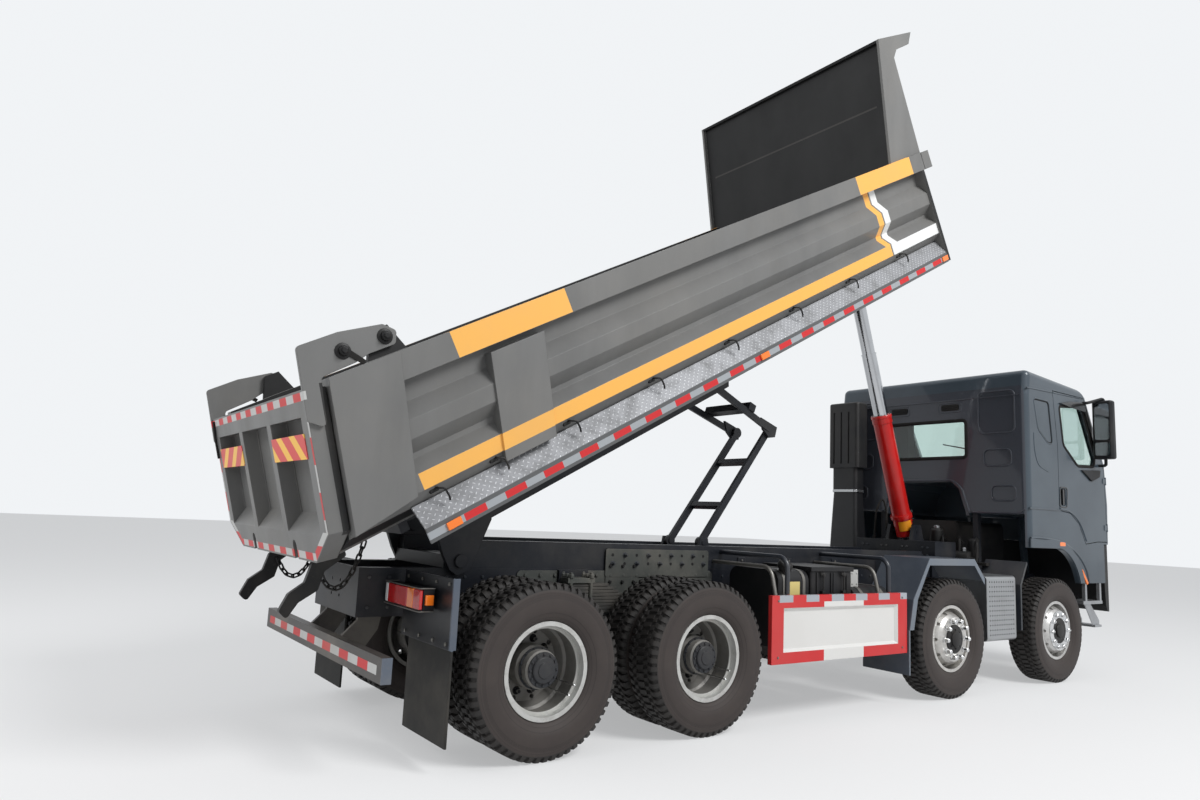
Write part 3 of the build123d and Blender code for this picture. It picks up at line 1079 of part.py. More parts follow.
FLOOR_UNDER_B = FLOOR_B - FLOOR_PLATE - SEAT_GAP
with BuildPart() as bed_underframe:
    beam_inner = BEAM_OUTER_Y - BEAM_WIDTH
    for side in (-1, 1):
        low_y, high_y = sorted((side * beam_inner, side * BEAM_OUTER_Y))
        side_profile([(80, BEAM_LOW_B), (2940, BEAM_LOW_B), (3060, 400), (5450, 400), (5450, FLOOR_UNDER_B),
                      (-500, FLOOR_UNDER_B), (-500, 450), (-60, 385)], low_y, high_y)
        # Hinge brackets hang beside the subframe
        low_y, high_y = sorted((side * BEAM_OUTER_Y, side * (BEAM_OUTER_Y + 40)))
        side_profile([(-95, -20), (-60, -80), (40, -90), (95, -40), (330, BEAM_LOW_B), (440, 400), (-60, 400),
                      (-95, 100)], low_y, high_y)
        side_bore(0, 0, BED_PIN_RADIUS + RUNNING_GAP, low_y, high_y)
        low_y, high_y = sorted((side * (beam_inner - 55), side * beam_inner))
        side_pin(UPPER_ARM_PIVOT[0], UPPER_ARM_PIVOT[1], ARM_PIN_RADIUS, low_y, high_y)
    for a in range(-400, 4901, 580):
        block((a - 30, -FLOOR_HALF_WIDTH + 20, 440), (a + 30, FLOOR_HALF_WIDTH - 20, FLOOR_UNDER_B))
    block((5200, -FLOOR_HALF_WIDTH + 20, 440), (5260, FLOOR_HALF_WIDTH - 20, FLOOR_UNDER_B))
save(bed_underframe.part, "bed_underframe", BED_PLACE)

TAILGATE_UP = (math.sin(REAR_LEAN_RAD), 0, math.cos(REAR_LEAN_RAD))
TAILGATE_OUT = (-math.cos(REAR_LEAN_RAD), 0, math.sin(REAR_LEAN_RAD))
TAILGATE_PLANE = Plane(origin=(TAILGATE_TOP_A, 0, 1467), x_dir=(0, -1, 0), z_dir=TAILGATE_OUT)
HOOK_Y = 500
RECESS_TOP = 145
LEDGE_LOW = 800
LEDGE_HIGH = 700
GATE_RIB_Y = 370


def gate_point(down, inward):
    """The a and b of a point that far down the gate's outer face and in from it."""
    a = TAILGATE_TOP_A - down * math.sin(REAR_LEAN_RAD) + inward * math.cos(REAR_LEAN_RAD)
    b = 1467 - down * math.cos(REAR_LEAN_RAD) - inward * math.sin(REAR_LEAN_RAD)
    return a, b


with BuildPart() as tailgate:
    with BuildSketch(TAILGATE_PLANE):
        with BuildLine():
            Polyline((-TAILGATE_HALF_WIDTH, 0), (TAILGATE_HALF_WIDTH, 0), (TAILGATE_HALF_WIDTH, -790),
                     (TAILGATE_HALF_WIDTH - 303, -TAILGATE_HEIGHT), (303 - TAILGATE_HALF_WIDTH,
                                                                     -TAILGATE_HEIGHT),
                     (-TAILGATE_HALF_WIDTH, -790), close=True)
        make_face()
    extrude(amount=-TAILGATE_DEPTH)
    recess_height = LEDGE_LOW - RECESS_TOP
    with BuildSketch(TAILGATE_PLANE):
        with Locations((0, -(RECESS_TOP + LEDGE_LOW) / 2)):
            Rectangle(2 * TAILGATE_HALF_WIDTH - 260, recess_height)
            for y in (-GATE_RIB_Y, GATE_RIB_Y):
                with Locations((y, 0)):
                    Rectangle(90, recess_height, mode=Mode.SUBTRACT)
    extrude(amount=-TAILGATE_DEPTH + 20, mode=Mode.SUBTRACT)
    # The panel meets the foot of the gate in a sloped ledge, which the ribs run down to
    side_profile([gate_point(LEDGE_LOW, 0), gate_point(LEDGE_LOW, 100), gate_point(LEDGE_HIGH, 100)],
                 132 - TAILGATE_HALF_WIDTH, TAILGATE_HALF_WIDTH - 132)
    # Slots over the latch hooks
    with BuildSketch(TAILGATE_PLANE):
        for y in (-HOOK_Y, HOOK_Y):
            with Locations((y, -TAILGATE_HEIGHT)):
                SlotOverall(230, 74, rotation=90)
    extrude(amount=-TAILGATE_DEPTH, mode=Mode.SUBTRACT)
    for side in (-1, 1):
        low_y, high_y = sorted((side * TAILGATE_HALF_WIDTH, side * (TAILGATE_HALF_WIDTH + 25)))
        side_profile([(-790, 1300), (-705, 1225), (-630, 1490), (-420, 1500), (-330, 1520), (-160, 1520),
                      (-125, 1590),
                      (-190, 1650), (-450, 1690), (-690, 1690)], low_y, high_y, radius=26)
        side_bore(TAILGATE_PIVOT_A, TAILGATE_PIVOT_B, TAILGATE_PIN_RADIUS + RUNNING_GAP, low_y, high_y)
save(tailgate.part, "tailgate", BED_PLACE)

with BuildPart() as tailgate_hooks:
    for low_y, high_y in both_sides(HOOK_Y - 20, HOOK_Y + 20):
        side_profile([(-800, 492), (-690, 492), (-690, 410), (-850, 385), (-930, 300), (-1060, 290), (-1160,
                                                                                                      235),
                      (-1180, 300), (-1090, 365), (-980, 380), (-900, 460)], low_y, high_y, radius=18)
    for low_y, high_y in both_sides(HOOK_Y + 20, HOOK_Y + 52):
        block((-760, low_y, 455), (-430 - SEAT_GAP, high_y, 490))
save(tailgate_hooks.part, "tailgate_hooks", BED_PLACE)

# Hoist: tubes along the line from the foot to the eye, with their own z along it
EYE_X, EYE_Z = bed_point(HOIST_EYE_A, HOIST_EYE_B)
HOIST_LENGTH = math.dist((HOIST_FOOT_X, HOIST_FOOT_Z), (EYE_X, EYE_Z))
HOIST_LEAN = math.degrees(math.atan2(HOIST_FOOT_X - EYE_X, EYE_Z - HOIST_FOOT_Z))
HOIST_PLACE = Location((HOIST_FOOT_X, 0, HOIST_FOOT_Z), (0, -HOIST_LEAN, 0))


def tube(outer, inner, low, high):
    """A round tube along z; a solid bar where the inner radius is 0."""
    with BuildSketch(Plane.XY.offset(low)) as ring:
        Circle(outer)
        if inner > 0:
            Circle(inner, mode=Mode.SUBTRACT)
    extrude(ring.sketch, amount=high - low)


with BuildPart() as hoist_barrel:
    tube(BARREL_RADIUS, STAGE_RADII[0] + STAGE_WALL, 70, BARREL_LENGTH)
    tube(BARREL_RADIUS, STAGE_RADII[0] + RUNNING_GAP, BARREL_LENGTH - 20, BARREL_LENGTH)
    tube(BARREL_RADIUS - 8, 0, -50, 75)
    tube(BARREL_RADIUS + 14, BARREL_RADIUS - 2, 150, 190)
    side_bore(0, 0, FOOT_PIN_RADIUS + RUNNING_GAP, -120, 120)
save(hoist_barrel.part, "hoist_barrel", HOIST_PLACE)

EYE_HALF_WIDTH = 127.4
for number, radius in enumerate(STAGE_RADII, start=1):
    top = BARREL_LENGTH + number * STAGE_REACH
    last = number == len(STAGE_RADII)
    with BuildPart() as stage:
        inner = 0 if last else radius - STAGE_WALL
        gland = 0 if last else STAGE_RADII[number] + RUNNING_GAP
        tube(radius, inner, top - STAGE_LENGTH, top)
        tube(radius + 5, gland, top - 12, top)
        if last:
            tube(radius - 5, 0, top, HOIST_LENGTH)
            side_pin(0, HOIST_LENGTH, 45, -EYE_HALF_WIDTH, EYE_HALF_WIDTH)
    save(stage.part, f"hoist_stage_{number}", HOIST_PLACE)

# Stabiliser arms
FOOT = LOWER_ARM_FOOT
PIVOT = bed_point(UPPER_ARM_PIVOT[0], UPPER_ARM_PIVOT[1])
SPAN = math.dist(FOOT, PIVOT)
SPAN_ANGLE = math.atan2(PIVOT[1] - FOOT[1], PIVOT[0] - FOOT[0])
FOOT_ANGLE = math.acos((LOWER_ARM_LENGTH**2 + SPAN**2 - UPPER_ARM_LENGTH**2) / (2 * LOWER_ARM_LENGTH * SPAN))
LOWER_ARM_ANGLE = SPAN_ANGLE - FOOT_ANGLE
KNEE = (FOOT[0] + LOWER_ARM_LENGTH * math.cos(LOWER_ARM_ANGLE),
        FOOT[1] + LOWER_ARM_LENGTH * math.sin(LOWER_ARM_ANGLE))
UPPER_ARM_ANGLE = math.atan2(KNEE[1] - PIVOT[1], KNEE[0] - PIVOT[0])

with BuildPart() as lower_arm:
    for side in (-1, 1):
        low_y, high_y = sorted((side * (LOWER_ARM_OUTER_Y - 35), side * LOWER_ARM_OUTER_Y))
        block((0, low_y, -30), (LOWER_ARM_LENGTH, high_y, 30))
        for x in (0, LOWER_ARM_LENGTH):
            side_pin(x, 0, 50, low_y, high_y)
        side_bore(0, 0, ARM_PIN_RADIUS + RUNNING_GAP, low_y, high_y)
    for x in (420, 950):
        block((x - 25, -LOWER_ARM_OUTER_Y + 35, -25), (x + 25, LOWER_ARM_OUTER_Y - 35, 25))
save(lower_arm.part, "stabiliser_lower_arm",
     Location((FOOT[0], 0, FOOT[1]), (0, -math.degrees(LOWER_ARM_ANGLE), 0)))

UPPER_ARM_TOP_Y = 335
with BuildPart() as upper_arm:
    knee_y = LOWER_ARM_OUTER_Y + 4
    for side in (-1, 1):
        with BuildSketch(Plane.XY.offset(-30)):
            with BuildLine():
                Polyline((0, side * (UPPER_ARM_TOP_Y - 30)), (0, side * UPPER_ARM_TOP_Y),
                         (UPPER_ARM_LENGTH, side * (knee_y + 25)), (UPPER_ARM_LENGTH, side * knee_y),
                         close=True)
            make_face()
        extrude(amount=60)
        low_y, high_y = sorted((side * (UPPER_ARM_TOP_Y - 32), side * UPPER_ARM_TOP_Y))
        side_pin(0, 0, 50, low_y, high_y)
        side_bore(0, 0, ARM_PIN_RADIUS + RUNNING_GAP, low_y - 10, high_y + 10)
        low_y, high_y = sorted((side * knee_y, side * (knee_y + 25)))
        side_profile([(UPPER_ARM_LENGTH - 170, 50), (UPPER_ARM_LENGTH + 60, 60), (UPPER_ARM_LENGTH + 70, -40),
                      (UPPER_ARM_LENGTH, -80), (UPPER_ARM_LENGTH - 100, -40)], low_y, high_y)
    block((480, -300, 25), (560, 300, 95))
save(upper_arm.part, "stabiliser_upper_arm",
     Location((PIVOT[0], 0, PIVOT[1]), (0, -math.degrees(UPPER_ARM_ANGLE), 0)))
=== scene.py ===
import math

import bmesh
import bpy
from mathutils import Matrix, Vector


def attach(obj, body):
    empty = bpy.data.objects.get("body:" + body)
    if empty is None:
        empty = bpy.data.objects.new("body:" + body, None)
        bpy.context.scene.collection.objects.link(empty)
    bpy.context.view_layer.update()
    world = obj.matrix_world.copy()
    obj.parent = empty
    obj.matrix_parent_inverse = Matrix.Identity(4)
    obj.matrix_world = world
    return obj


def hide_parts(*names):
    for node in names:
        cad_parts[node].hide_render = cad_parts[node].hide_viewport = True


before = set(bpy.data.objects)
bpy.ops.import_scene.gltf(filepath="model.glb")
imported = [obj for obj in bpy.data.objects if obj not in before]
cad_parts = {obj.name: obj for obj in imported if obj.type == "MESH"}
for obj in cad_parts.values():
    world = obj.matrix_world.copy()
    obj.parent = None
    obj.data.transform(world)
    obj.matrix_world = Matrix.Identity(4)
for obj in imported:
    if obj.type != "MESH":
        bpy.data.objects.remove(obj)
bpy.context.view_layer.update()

# Places in metres. CAD sizes are measured from the rear axle, so x loses CENTRE_X.
# The bed has axes of its own from its hinge: a along its floor, y, and b up from the floor.
CENTRE_X = 3.035
AXLE_X = {"rear": 0.0, "third": 1.35, "second": 4.4, "first": 6.35}
TYRE_RADIUS = 0.535
STEER_WHEEL_Y = 1.085
OUTER_TWIN_Y = 1.1
INNER_TWIN_Y = 0.755
BED_TILT = math.radians(28.5)
BED_HINGE = (-0.27 - CENTRE_X, 1.15)
GATE_TOP = (-0.736, 1.467)
GATE_LEAN = math.radians(13.4)
GATE_HALF_WIDTH = 1.19
FLOOR_TOP = 0.54
FRONT_LEAN = math.tan(math.radians(19.5))
WALL_TOP = (5.125, 1.504)
CAB_BACK = 5.862
SILENCER_BACK, SILENCER_FOOT = 5.03, 0.47
GUARD_BACK, GUARD_FOOT = 1.98, 0.45
UNDERRUN_BACK, UNDERRUN_FOOT = -1.06, 0.53
HALF_GUARD_BACK = 5.4
SIDES = {"left": 1, "right": -1}


def bed_point(a, y, b):
    """A point of the bed's own frame, a along its floor and b up from it, in the truck's frame."""
    c, s = math.cos(BED_TILT), math.sin(BED_TILT)
    return (BED_HINGE[0] + a * c - b * s, y, BED_HINGE[1] + a * s + b * c)


def gate_point(down, y, out):
    """A point on the tailgate, down its outer plane and out from it, in the truck's frame."""
    c, s = math.cos(GATE_LEAN), math.sin(GATE_LEAN)
    return bed_point(GATE_TOP[0] - down * s - out * c, y, GATE_TOP[1] - down * c + out * s)


def truck_point(x, y, z):
    """A point measured from the rear axle, in the truck's frame."""
    return (x - CENTRE_X, y, z)


def srgb(red, green, blue):
    """A colour given as 0 to 255, for a shader."""
    def linear(value):
        value /= 255
        return value / 12.92 if value <= 0.04045 else ((value + 0.055) / 1.055) ** 2.4
    return (linear(red), linear(green), linear(blue), 1.0)


# Materials
class Value:
    """A number, colour or shader in a tree of nodes. Python's operators on a number add Math nodes."""

    def __init__(self, nodes, socket):
        self.nodes = nodes
        self.socket = socket

    def maths(self, operation, *values):
        """A Math node on values, of which this is one."""
        return self.nodes.node("Math", {"operation": operation}, dict(enumerate(values)))

    def __add__(self, other):
        return self.maths("ADD", self, other)

    def __radd__(self, other):
        return self.maths("ADD", other, self)

    def __sub__(self, other):
        return self.maths("SUBTRACT", self, other)

    def __rsub__(self, other):
        return self.maths("SUBTRACT", other, self)

    def __mul__(self, other):
        return self.maths("MULTIPLY", self, other)

    def __rmul__(self, other):
        return self.maths("MULTIPLY", other, self)

    def __truediv__(self, other):
        return self.maths("DIVIDE", self, other)

    def __abs__(self):
        return self.maths("ABSOLUTE", self)

    def root(self):
        return self.maths("SQRT", self)

    def over(self, edge):
        """1 above the edge, else 0."""
        return self.maths("GREATER_THAN", self, edge)

    def under(self, edge):
        """1 below the edge, else 0."""
        return self.maths("LESS_THAN", self, edge)

    def within(self, low, high):
        """1 from low to high, else 0."""
        return self.maths("COMPARE", self, (low + high) / 2, (high - low) / 2)

    def wrapped(self, period):
        """The remainder after whole periods."""
        return self.maths("FLOORED_MODULO", self, period)

    def eased(self, low, high):
        """0 below low, 1 above high, and smooth between."""
        return self.nodes.node("MapRange", {"interpolation_type": "SMOOTHSTEP"},
                               {"Value": self, "From Min": low, "From Max": high})

    def either(self, other):
        """The larger of two values: for masks, where one or the other is."""
        return self.maths("MAXIMUM", self, other)


class Nodes:
    """A tree of nodes that grows as it is described."""

    def __init__(self, tree):
        self.tree = tree

    def join(self, socket, value):
        """Link a value to a socket, or set the socket to a plain number or colour."""
        if isinstance(value, Value):
            self.tree.links.new(value.socket, socket)
        else:
            socket.default_value = value

    def node(self, kind, settings=None, inputs=None, output=0):
        """Add a node: first its settings, then the values or links of its sockets."""
        made = self.tree.nodes.new("ShaderNode" + kind)
        for key, value in (settings or {}).items():
            setattr(made, key, value)
        for key, value in (inputs or {}).items():
            self.join(made.inputs[key], value)
        return Value(self, made.outputs[output])

    def pale_to_eyes(self, plain, pale, share, output):
        """Show the pale shader, or a share of it, to the camera, in reflections and through glass."""
        camera, glossy, through = (self.node("LightPath", output=f"Is {ray} Ray")
                                   for ray in ("Camera", "Glossy", "Transmission"))
        seen = camera.either(glossy).either(through) * share
        surface = self.node("MixShader", None, {0: seen, 1: plain, 2: pale})
        self.join(self.tree.nodes[output].inputs["Surface"], surface)


class Finish(Nodes):
    """One material: its shader and what feeds it."""

    def __init__(self, name, **inputs):
        self.material = bpy.data.materials.new(name)
        self.material.use_nodes = True
        super().__init__(self.material.node_tree)
        self.shader = self.tree.nodes["Principled BSDF"]
        self.place = None
        self.feed(**inputs)

    def feed(self, **inputs):
        """Set the shader's sockets: base_color is its Base Color."""
        for key, value in inputs.items():
            name = " ".join(word.capitalize() for word in key.split("_")).replace("Ior", "IOR")
            self.join(self.shader.inputs[name], value)
        return self

    def where(self):
        """The point on the surface, in the piece's own frame."""
        if self.place is None:
            self.place = self.node("TexCoord", output="Object")
        return self.place

    def along(self, direction, start=0.0):
        """Distance of the point along a direction, from a start."""
        reach = self.node("VectorMath", {"operation": "DOT_PRODUCT"},
                          {0: self.where(), 1: direction}, "Value")
        return reach - start if start else reach

    def stretched(self, scale):
        """The point with each axis scaled."""
        return self.node("VectorMath", {"operation": "MULTIPLY"}, {0: self.where(), 1: scale})

    def noise(self, scale, detail=3.0, roughness=0.55, stretch=None):
        """Soft noise from 0 to 1, with fewer changes along an axis that is scaled down."""
        vector = self.stretched(stretch) if stretch else self.where()
        return self.node("TexNoise", None,
                         {"Vector": vector, "Scale": scale, "Detail": detail, "Roughness": roughness})

    def mixed(self, factor, first, second):
        """A colour between two."""
        return self.node("Mix", {"data_type": "RGBA"}, {0: factor, 6: first, 7: second}, 2)

    def bump(self, height, strength=0.5, distance=0.001, soft_edge=0.0):
        """Raise the surface by a height, with its hard edges rounded by a radius."""
        inputs = {"Height": height, "Strength": strength, "Distance": distance}
        if soft_edge:
            inputs["Normal"] = self.node("Bevel", {"samples": 4}, {"Radius": soft_edge})
        self.feed(normal=self.node("Bump", None, inputs))
        return self


def bed_axes(finish):
    """The a, y and b of the point on a piece of the bed."""
    c, s = math.cos(BED_TILT), math.sin(BED_TILT)
    a = finish.along((c, 0, s), BED_HINGE[0] * c + BED_HINGE[1] * s)
    b = finish.along((-s, 0, c), -BED_HINGE[0] * s + BED_HINGE[1] * c)
    return a, finish.along((0, 1, 0)), b


def truck_axes(finish, x=0.0, z=0.0):
    """How far the point is ahead of x, out from the truck's middle, and over z."""
    ahead = finish.along((1, 0, 0), x - CENTRE_X)
    return ahead, abs(finish.along((0, 1, 0))), finish.along((0, 0, 1), z)


def dusted(finish, colour, dust, amount, scale=1.4):
    """The colour with patches of dust and fine grime over it, and the mask of the dust."""
    patches = finish.noise(scale, 6.0, 0.62).eased(0.42, 0.72) * amount
    specks = finish.noise(38.0, 4.0, 0.7).eased(0.5, 0.8) * (amount * 0.5)
    mask = patches.either(specks)
    return finish.mixed(mask, colour, dust), mask


# Colours that several finishes share, and the shine of paint and plastic
ORANGE = srgb(238, 176, 84)
WHITE = srgb(226, 227, 226)
TAPE_RED = srgb(196, 30, 34)
TAPE_WHITE = srgb(186, 186, 184)
DUST = srgb(150, 143, 132)
BED_GREY = srgb(109, 109, 108)
SOFT_SHINE = 0.4


def banded(value, period, share):
    """1 over the first share of each period."""
    return value.wrapped(period).under(period * share)


def bed_grey_of(f):
    """The bed's streaky grey, and its streaks."""
    streaks = f.noise(3.0, 5.0, 0.6, (1.0, 1.0, 0.18))
    clouds = f.noise(0.8, 3.0, 0.5)
    grey = f.mixed(streaks.eased(0.3, 0.75) * 0.45, BED_GREY, srgb(84, 84, 83))
    return f.mixed(clouds.eased(0.45, 0.7) * 0.5, grey, srgb(112, 111, 108)), streaks


def rolled_sheet(f):
    """The slight waves and grain of painted sheet."""
    return f.bump(f.noise(240.0, 2.0) + f.noise(2.2, 2.0) * 3.0, 0.12, 0.002, 0.006)


# Bands of colour on the bed, as spans along it and up it, and how far out each starts
RAIL_OUT, RIB_OUT, LOW_RIB_OUT = 1.143, 1.09, 1.2
TROUGH_HALF_WIDTH = 1.125
SEAM = 0.004
TOP_RAIL = (1.312, 1.4785)
TOP_RAIL_ORANGE = ((0.17, 1.06), (4.446, 5.351))
RIBS = (0.79, 1.311)
RIBS_ORANGE = (4.6, 4.68)
RIBS_WHITE = (4.7, 4.79)
LOW_RIB = (0.69, 0.79)
LOW_RIB_ORANGE = (-0.34, 4.67)
LOW_RIB_WHITE = (4.69, 5.499)
WALL_WELD = (2.012, 2.028)


def bed_paint():
    """Warm grey paint with the side stripes, and near-black painted shade inside the trough and on the front
    end plates.
    """
    f = Finish("bed_paint", specular_ior_level=SOFT_SHINE)
    a, y, b = bed_axes(f)
    y = abs(y)
    rail = y.over(RAIL_OUT) * b.within(*TOP_RAIL)
    ribs = y.over(RIB_OUT) * b.within(*RIBS)
    low_rib = y.over(LOW_RIB_OUT) * b.within(*LOW_RIB)
    rear_end, front_end = (a.within(*span) for span in TOP_RAIL_ORANGE)
    orange = rail * rear_end.either(front_end)
    orange = orange.either(ribs * a.within(*RIBS_ORANGE)).either(low_rib * a.within(*LOW_RIB_ORANGE))
    white = (ribs * a.within(*RIBS_WHITE)).either(low_rib * a.within(*LOW_RIB_WHITE))
    grey, streaks = bed_grey_of(f)
    colour = f.mixed(white, f.mixed(orange, grey, ORANGE), WHITE)
    # Inside the trough the grey gives way to near-black: painted shade, with a lighter line along the front
    # wall's weld.
    trough = y.under(TROUGH_HALF_WIDTH).either(y.under(GATE_HALF_WIDTH - 0.001) * b.over(1.479))
    behind_wall = (a - b * FRONT_LEAN).under(WALL_TOP[0] - WALL_TOP[1] * FRONT_LEAN + SEAM)
    # The front end plates, seen edge-on in shadow, are painted black too: painted shade.
    front_post_shade = a.over(5.5) * b.under(1.31) * y.over(1.12)
    black = (trough * b.over(FLOOR_TOP - SEAM) * behind_wall).either(front_post_shade)
    inner = f.mixed(f.noise(4.0, 5.0).eased(0.35, 0.7), srgb(11, 11, 12), srgb(17, 17, 18))
    inner = f.mixed(b.within(*WALL_WELD) * y.under(1.1), inner, srgb(58, 56, 54))
    colour, dust = dusted(f, colour, DUST, 0.1)
    f.feed(base_color=f.mixed(black, colour, inner),
           roughness=0.33 + dust * 0.5 + streaks * 0.16 + black * 0.2)
    return rolled_sheet(f)


def gate_axes(finish):
    """Distance down the tailgate, y, and distance in from its outer plane."""
    a, y, b = bed_axes(finish)
    c, s = math.cos(GATE_LEAN), math.sin(GATE_LEAN)
    down = (a - GATE_TOP[0]) * -s - (b - GATE_TOP[1]) * c
    inward = (a - GATE_TOP[0]) * c - (b - GATE_TOP[1]) * s
    return down, y, inward


# Strips of tape on the tailgate, as spans down it, across it and in from its sloping corner
TAPE_TOP = (0.012, 0.058)
TAPE_FOOT = (0.908, 0.952)
TAPE_EDGE = (1.16, 1.186)
TAPE_CORNER = (0.008, 0.052)
CORNER_START = 0.79
CORNER_WAY = (0.498, 0.867)


def tailgate_paint():
    """The bed's grey with tape round the gate's edges, and near-black painted shade at its back and deep
    along its sides.
    """
    f = Finish("tailgate_paint", specular_ior_level=SOFT_SHINE)
    down, side, inward = gate_axes(f)
    y = abs(side)
    corner = (GATE_HALF_WIDTH - y) * CORNER_WAY[0] + (CORNER_START - down) * CORNER_WAY[1]
    edge = y.within(*TAPE_EDGE) * down.within(0.12, CORNER_START)
    slope = corner.within(*TAPE_CORNER) * y.over(0.9) * down.over(0.78)
    foot = down.within(*TAPE_FOOT) * y.under(0.9)
    across = f.mixed(banded(side, 0.28, 0.5), TAPE_WHITE, TAPE_RED)
    lengthwise = f.mixed(banded(down + 0.04, 0.3, 0.5), TAPE_WHITE, TAPE_RED)
    tape = down.within(*TAPE_TOP).either(edge).either(slope).either(foot) * inward.under(0.004)
    grey, streaks = bed_grey_of(f)
    # The gate's inner face and the deep parts of its sides are painted near-black: painted shade.
    black = inward.over(0.115).either(inward.over(0.08) * y.over(1.15))
    colour = f.mixed(black * down.over(-0.02), grey, srgb(24, 24, 25))
    colour = f.mixed(tape, colour, f.mixed(edge.either(slope), across, lengthwise))
    colour, dust = dusted(f, colour, DUST, 0.12)
    f.feed(base_color=colour, roughness=0.33 + dust * 0.5 + streaks * 0.16)
    return rolled_sheet(f)


def board_paint():
    """Slanted red and yellow bars, mirrored about the middle of the truck."""
    f = Finish("board_paint", roughness=0.3)
    down, side, _ = gate_axes(f)
    bar = banded(abs(side) - down * 1.25 + 0.06, 0.27, 0.42)
    colour, _ = dusted(f, f.mixed(bar, srgb(214, 30, 18), srgb(250, 190, 40)), DUST, 0.12)
    return f.feed(base_color=colour)


def plain_paint(name, colour, shade, roughness, dust, metallic=0.0, coat=0.0, grain=160.0):
    """Paint with slow changes of shade, dust and a fine grain."""
    f = Finish(name, metallic=metallic, coat_weight=coat, coat_roughness=0.08, specular_ior_level=0.25)
    clouds = f.noise(2.1, 5.0, 0.6)
    mixed, mask = dusted(f, f.mixed(clouds.eased(0.3, 0.7), colour, shade), DUST, dust)
    f.feed(base_color=mixed, roughness=roughness + mask * 0.45 + clouds * 0.06)
    return f.bump(f.noise(grain, 3.0), 0.15, 0.0012, 0.004)


def cab_paint():
    """Grey paint with fine flecks, and a darker grey of painted shade on the rear wall."""
    f = Finish("cab_paint", metallic=0.1, coat_weight=0.35, coat_roughness=0.06, specular_ior_level=0.35)
    x, y, _ = truck_axes(f, CAB_BACK)
    clouds = f.noise(1.6, 4.0).eased(0.3, 0.7)
    side = f.mixed(clouds, srgb(62, 73, 82), srgb(56, 66, 75))
    # The rear wall behind x 0 is painted a darker grey: painted shade on the wall that faces back towards the
    # bed.
    colour = f.mixed(x.under(0.0) * y.under(1.17), side, srgb(58, 61, 69))
    colour = f.mixed(f.noise(900.0, 1.0).eased(0.55, 0.75) * 0.3, colour, srgb(120, 130, 138))
    f.feed(base_color=colour, roughness=0.32 + clouds * 0.05)
    return f.bump(f.noise(500.0, 2.0), 0.06, 0.0008, 0.006)


def tread_plate():
    """Bright plate with raised lozenges in two directions, painted lighter as painted highlights, and tape
    along its lip.
    """
    f = Finish("tread_plate")
    a, y, b = bed_axes(f)
    y = abs(y)
    pitch, half_length, half_width = 0.048, 0.015, 0.005

    def lozenges(shift, tilt):
        """1 on the lozenges of one direction, half a pitch on where shift is 0.5."""
        u = (a + shift * pitch).wrapped(pitch) - pitch / 2
        v = (y - b * 0.75 + shift * pitch).wrapped(pitch) - pitch / 2
        long_way = (u + v * tilt) / half_length
        short_way = (v - u * tilt) / half_width
        return 1.0 - (long_way * long_way + short_way * short_way).eased(0.4, 1.6)

    raised = lozenges(0.0, 1.0).either(lozenges(0.5, -1.0))
    lip = b.under(0.4885) * y.over(1.2)
    red = banded(a - 0.117, 0.3, 0.52) * a.over(-0.19)
    tape = b.within(0.418, 0.462)
    # The raised lozenges are painted lighter than the plate: painted highlights where they catch the light.
    metal = f.mixed(raised, srgb(126, 127, 130), srgb(186, 188, 190))
    grime = f.noise(5.0, 5.0, 0.65).eased(0.4, 0.75)
    metal = f.mixed(grime * 0.45, metal, srgb(92, 92, 90))
    edge = f.mixed(tape, srgb(84, 85, 86), f.mixed(red, srgb(152, 156, 160), TAPE_RED))
    colour = f.mixed(lip, metal, edge)
    f.feed(base_color=colour, roughness=0.52 + grime * 0.15, metallic=0.4 - lip * 0.35)
    return f.bump(raised * (1.0 - lip), 0.6, 0.0025, 0.004)


def rubber(name, colour):
    """Dull black rubber with a little dust."""
    f = Finish(name, roughness=0.85, specular_ior_level=0.25)
    worn = f.mixed(f.noise(9.0, 4.0), colour, srgb(38, 36, 35))
    dusty, _ = dusted(f, worn, srgb(110, 106, 100), 0.1, 4.0)
    f.feed(base_color=dusty)
    return f.bump(f.noise(300.0, 3.0), 0.2, 0.0008)


def tyre_rubber():
    """Side wall with raised rings and road dust, by distance from the axle."""
    f = Finish("tyre_rubber", specular_ior_level=0.3)
    radius = f.node("VectorMath", {"operation": "LENGTH"}, {0: f.stretched((1.0, 0.0, 1.0))}, "Value")
    rings = radius.within(0.44, 0.466) * radius.wrapped(0.006).over(0.003)
    for span in ((0.352, 0.356), (0.474, 0.477), (0.325, 0.328)):
        rings = rings.either(radius.within(*span))
    dust = f.noise(5.0, 5.0, 0.6).eased(0.35, 0.8) * 0.25
    wall = f.mixed(dust, srgb(58, 52, 50), srgb(84, 77, 72))
    wall = f.mixed(rings * 0.5, wall, srgb(40, 36, 35))
    crown = f.mixed(dust, srgb(43, 41, 40), srgb(76, 72, 68))
    f.feed(base_color=f.mixed(radius.over(0.492), wall, crown), roughness=0.6 + dust * 0.3)
    return f.bump(rings + f.noise(260.0, 3.0) * 0.12, 0.35, 0.0015)


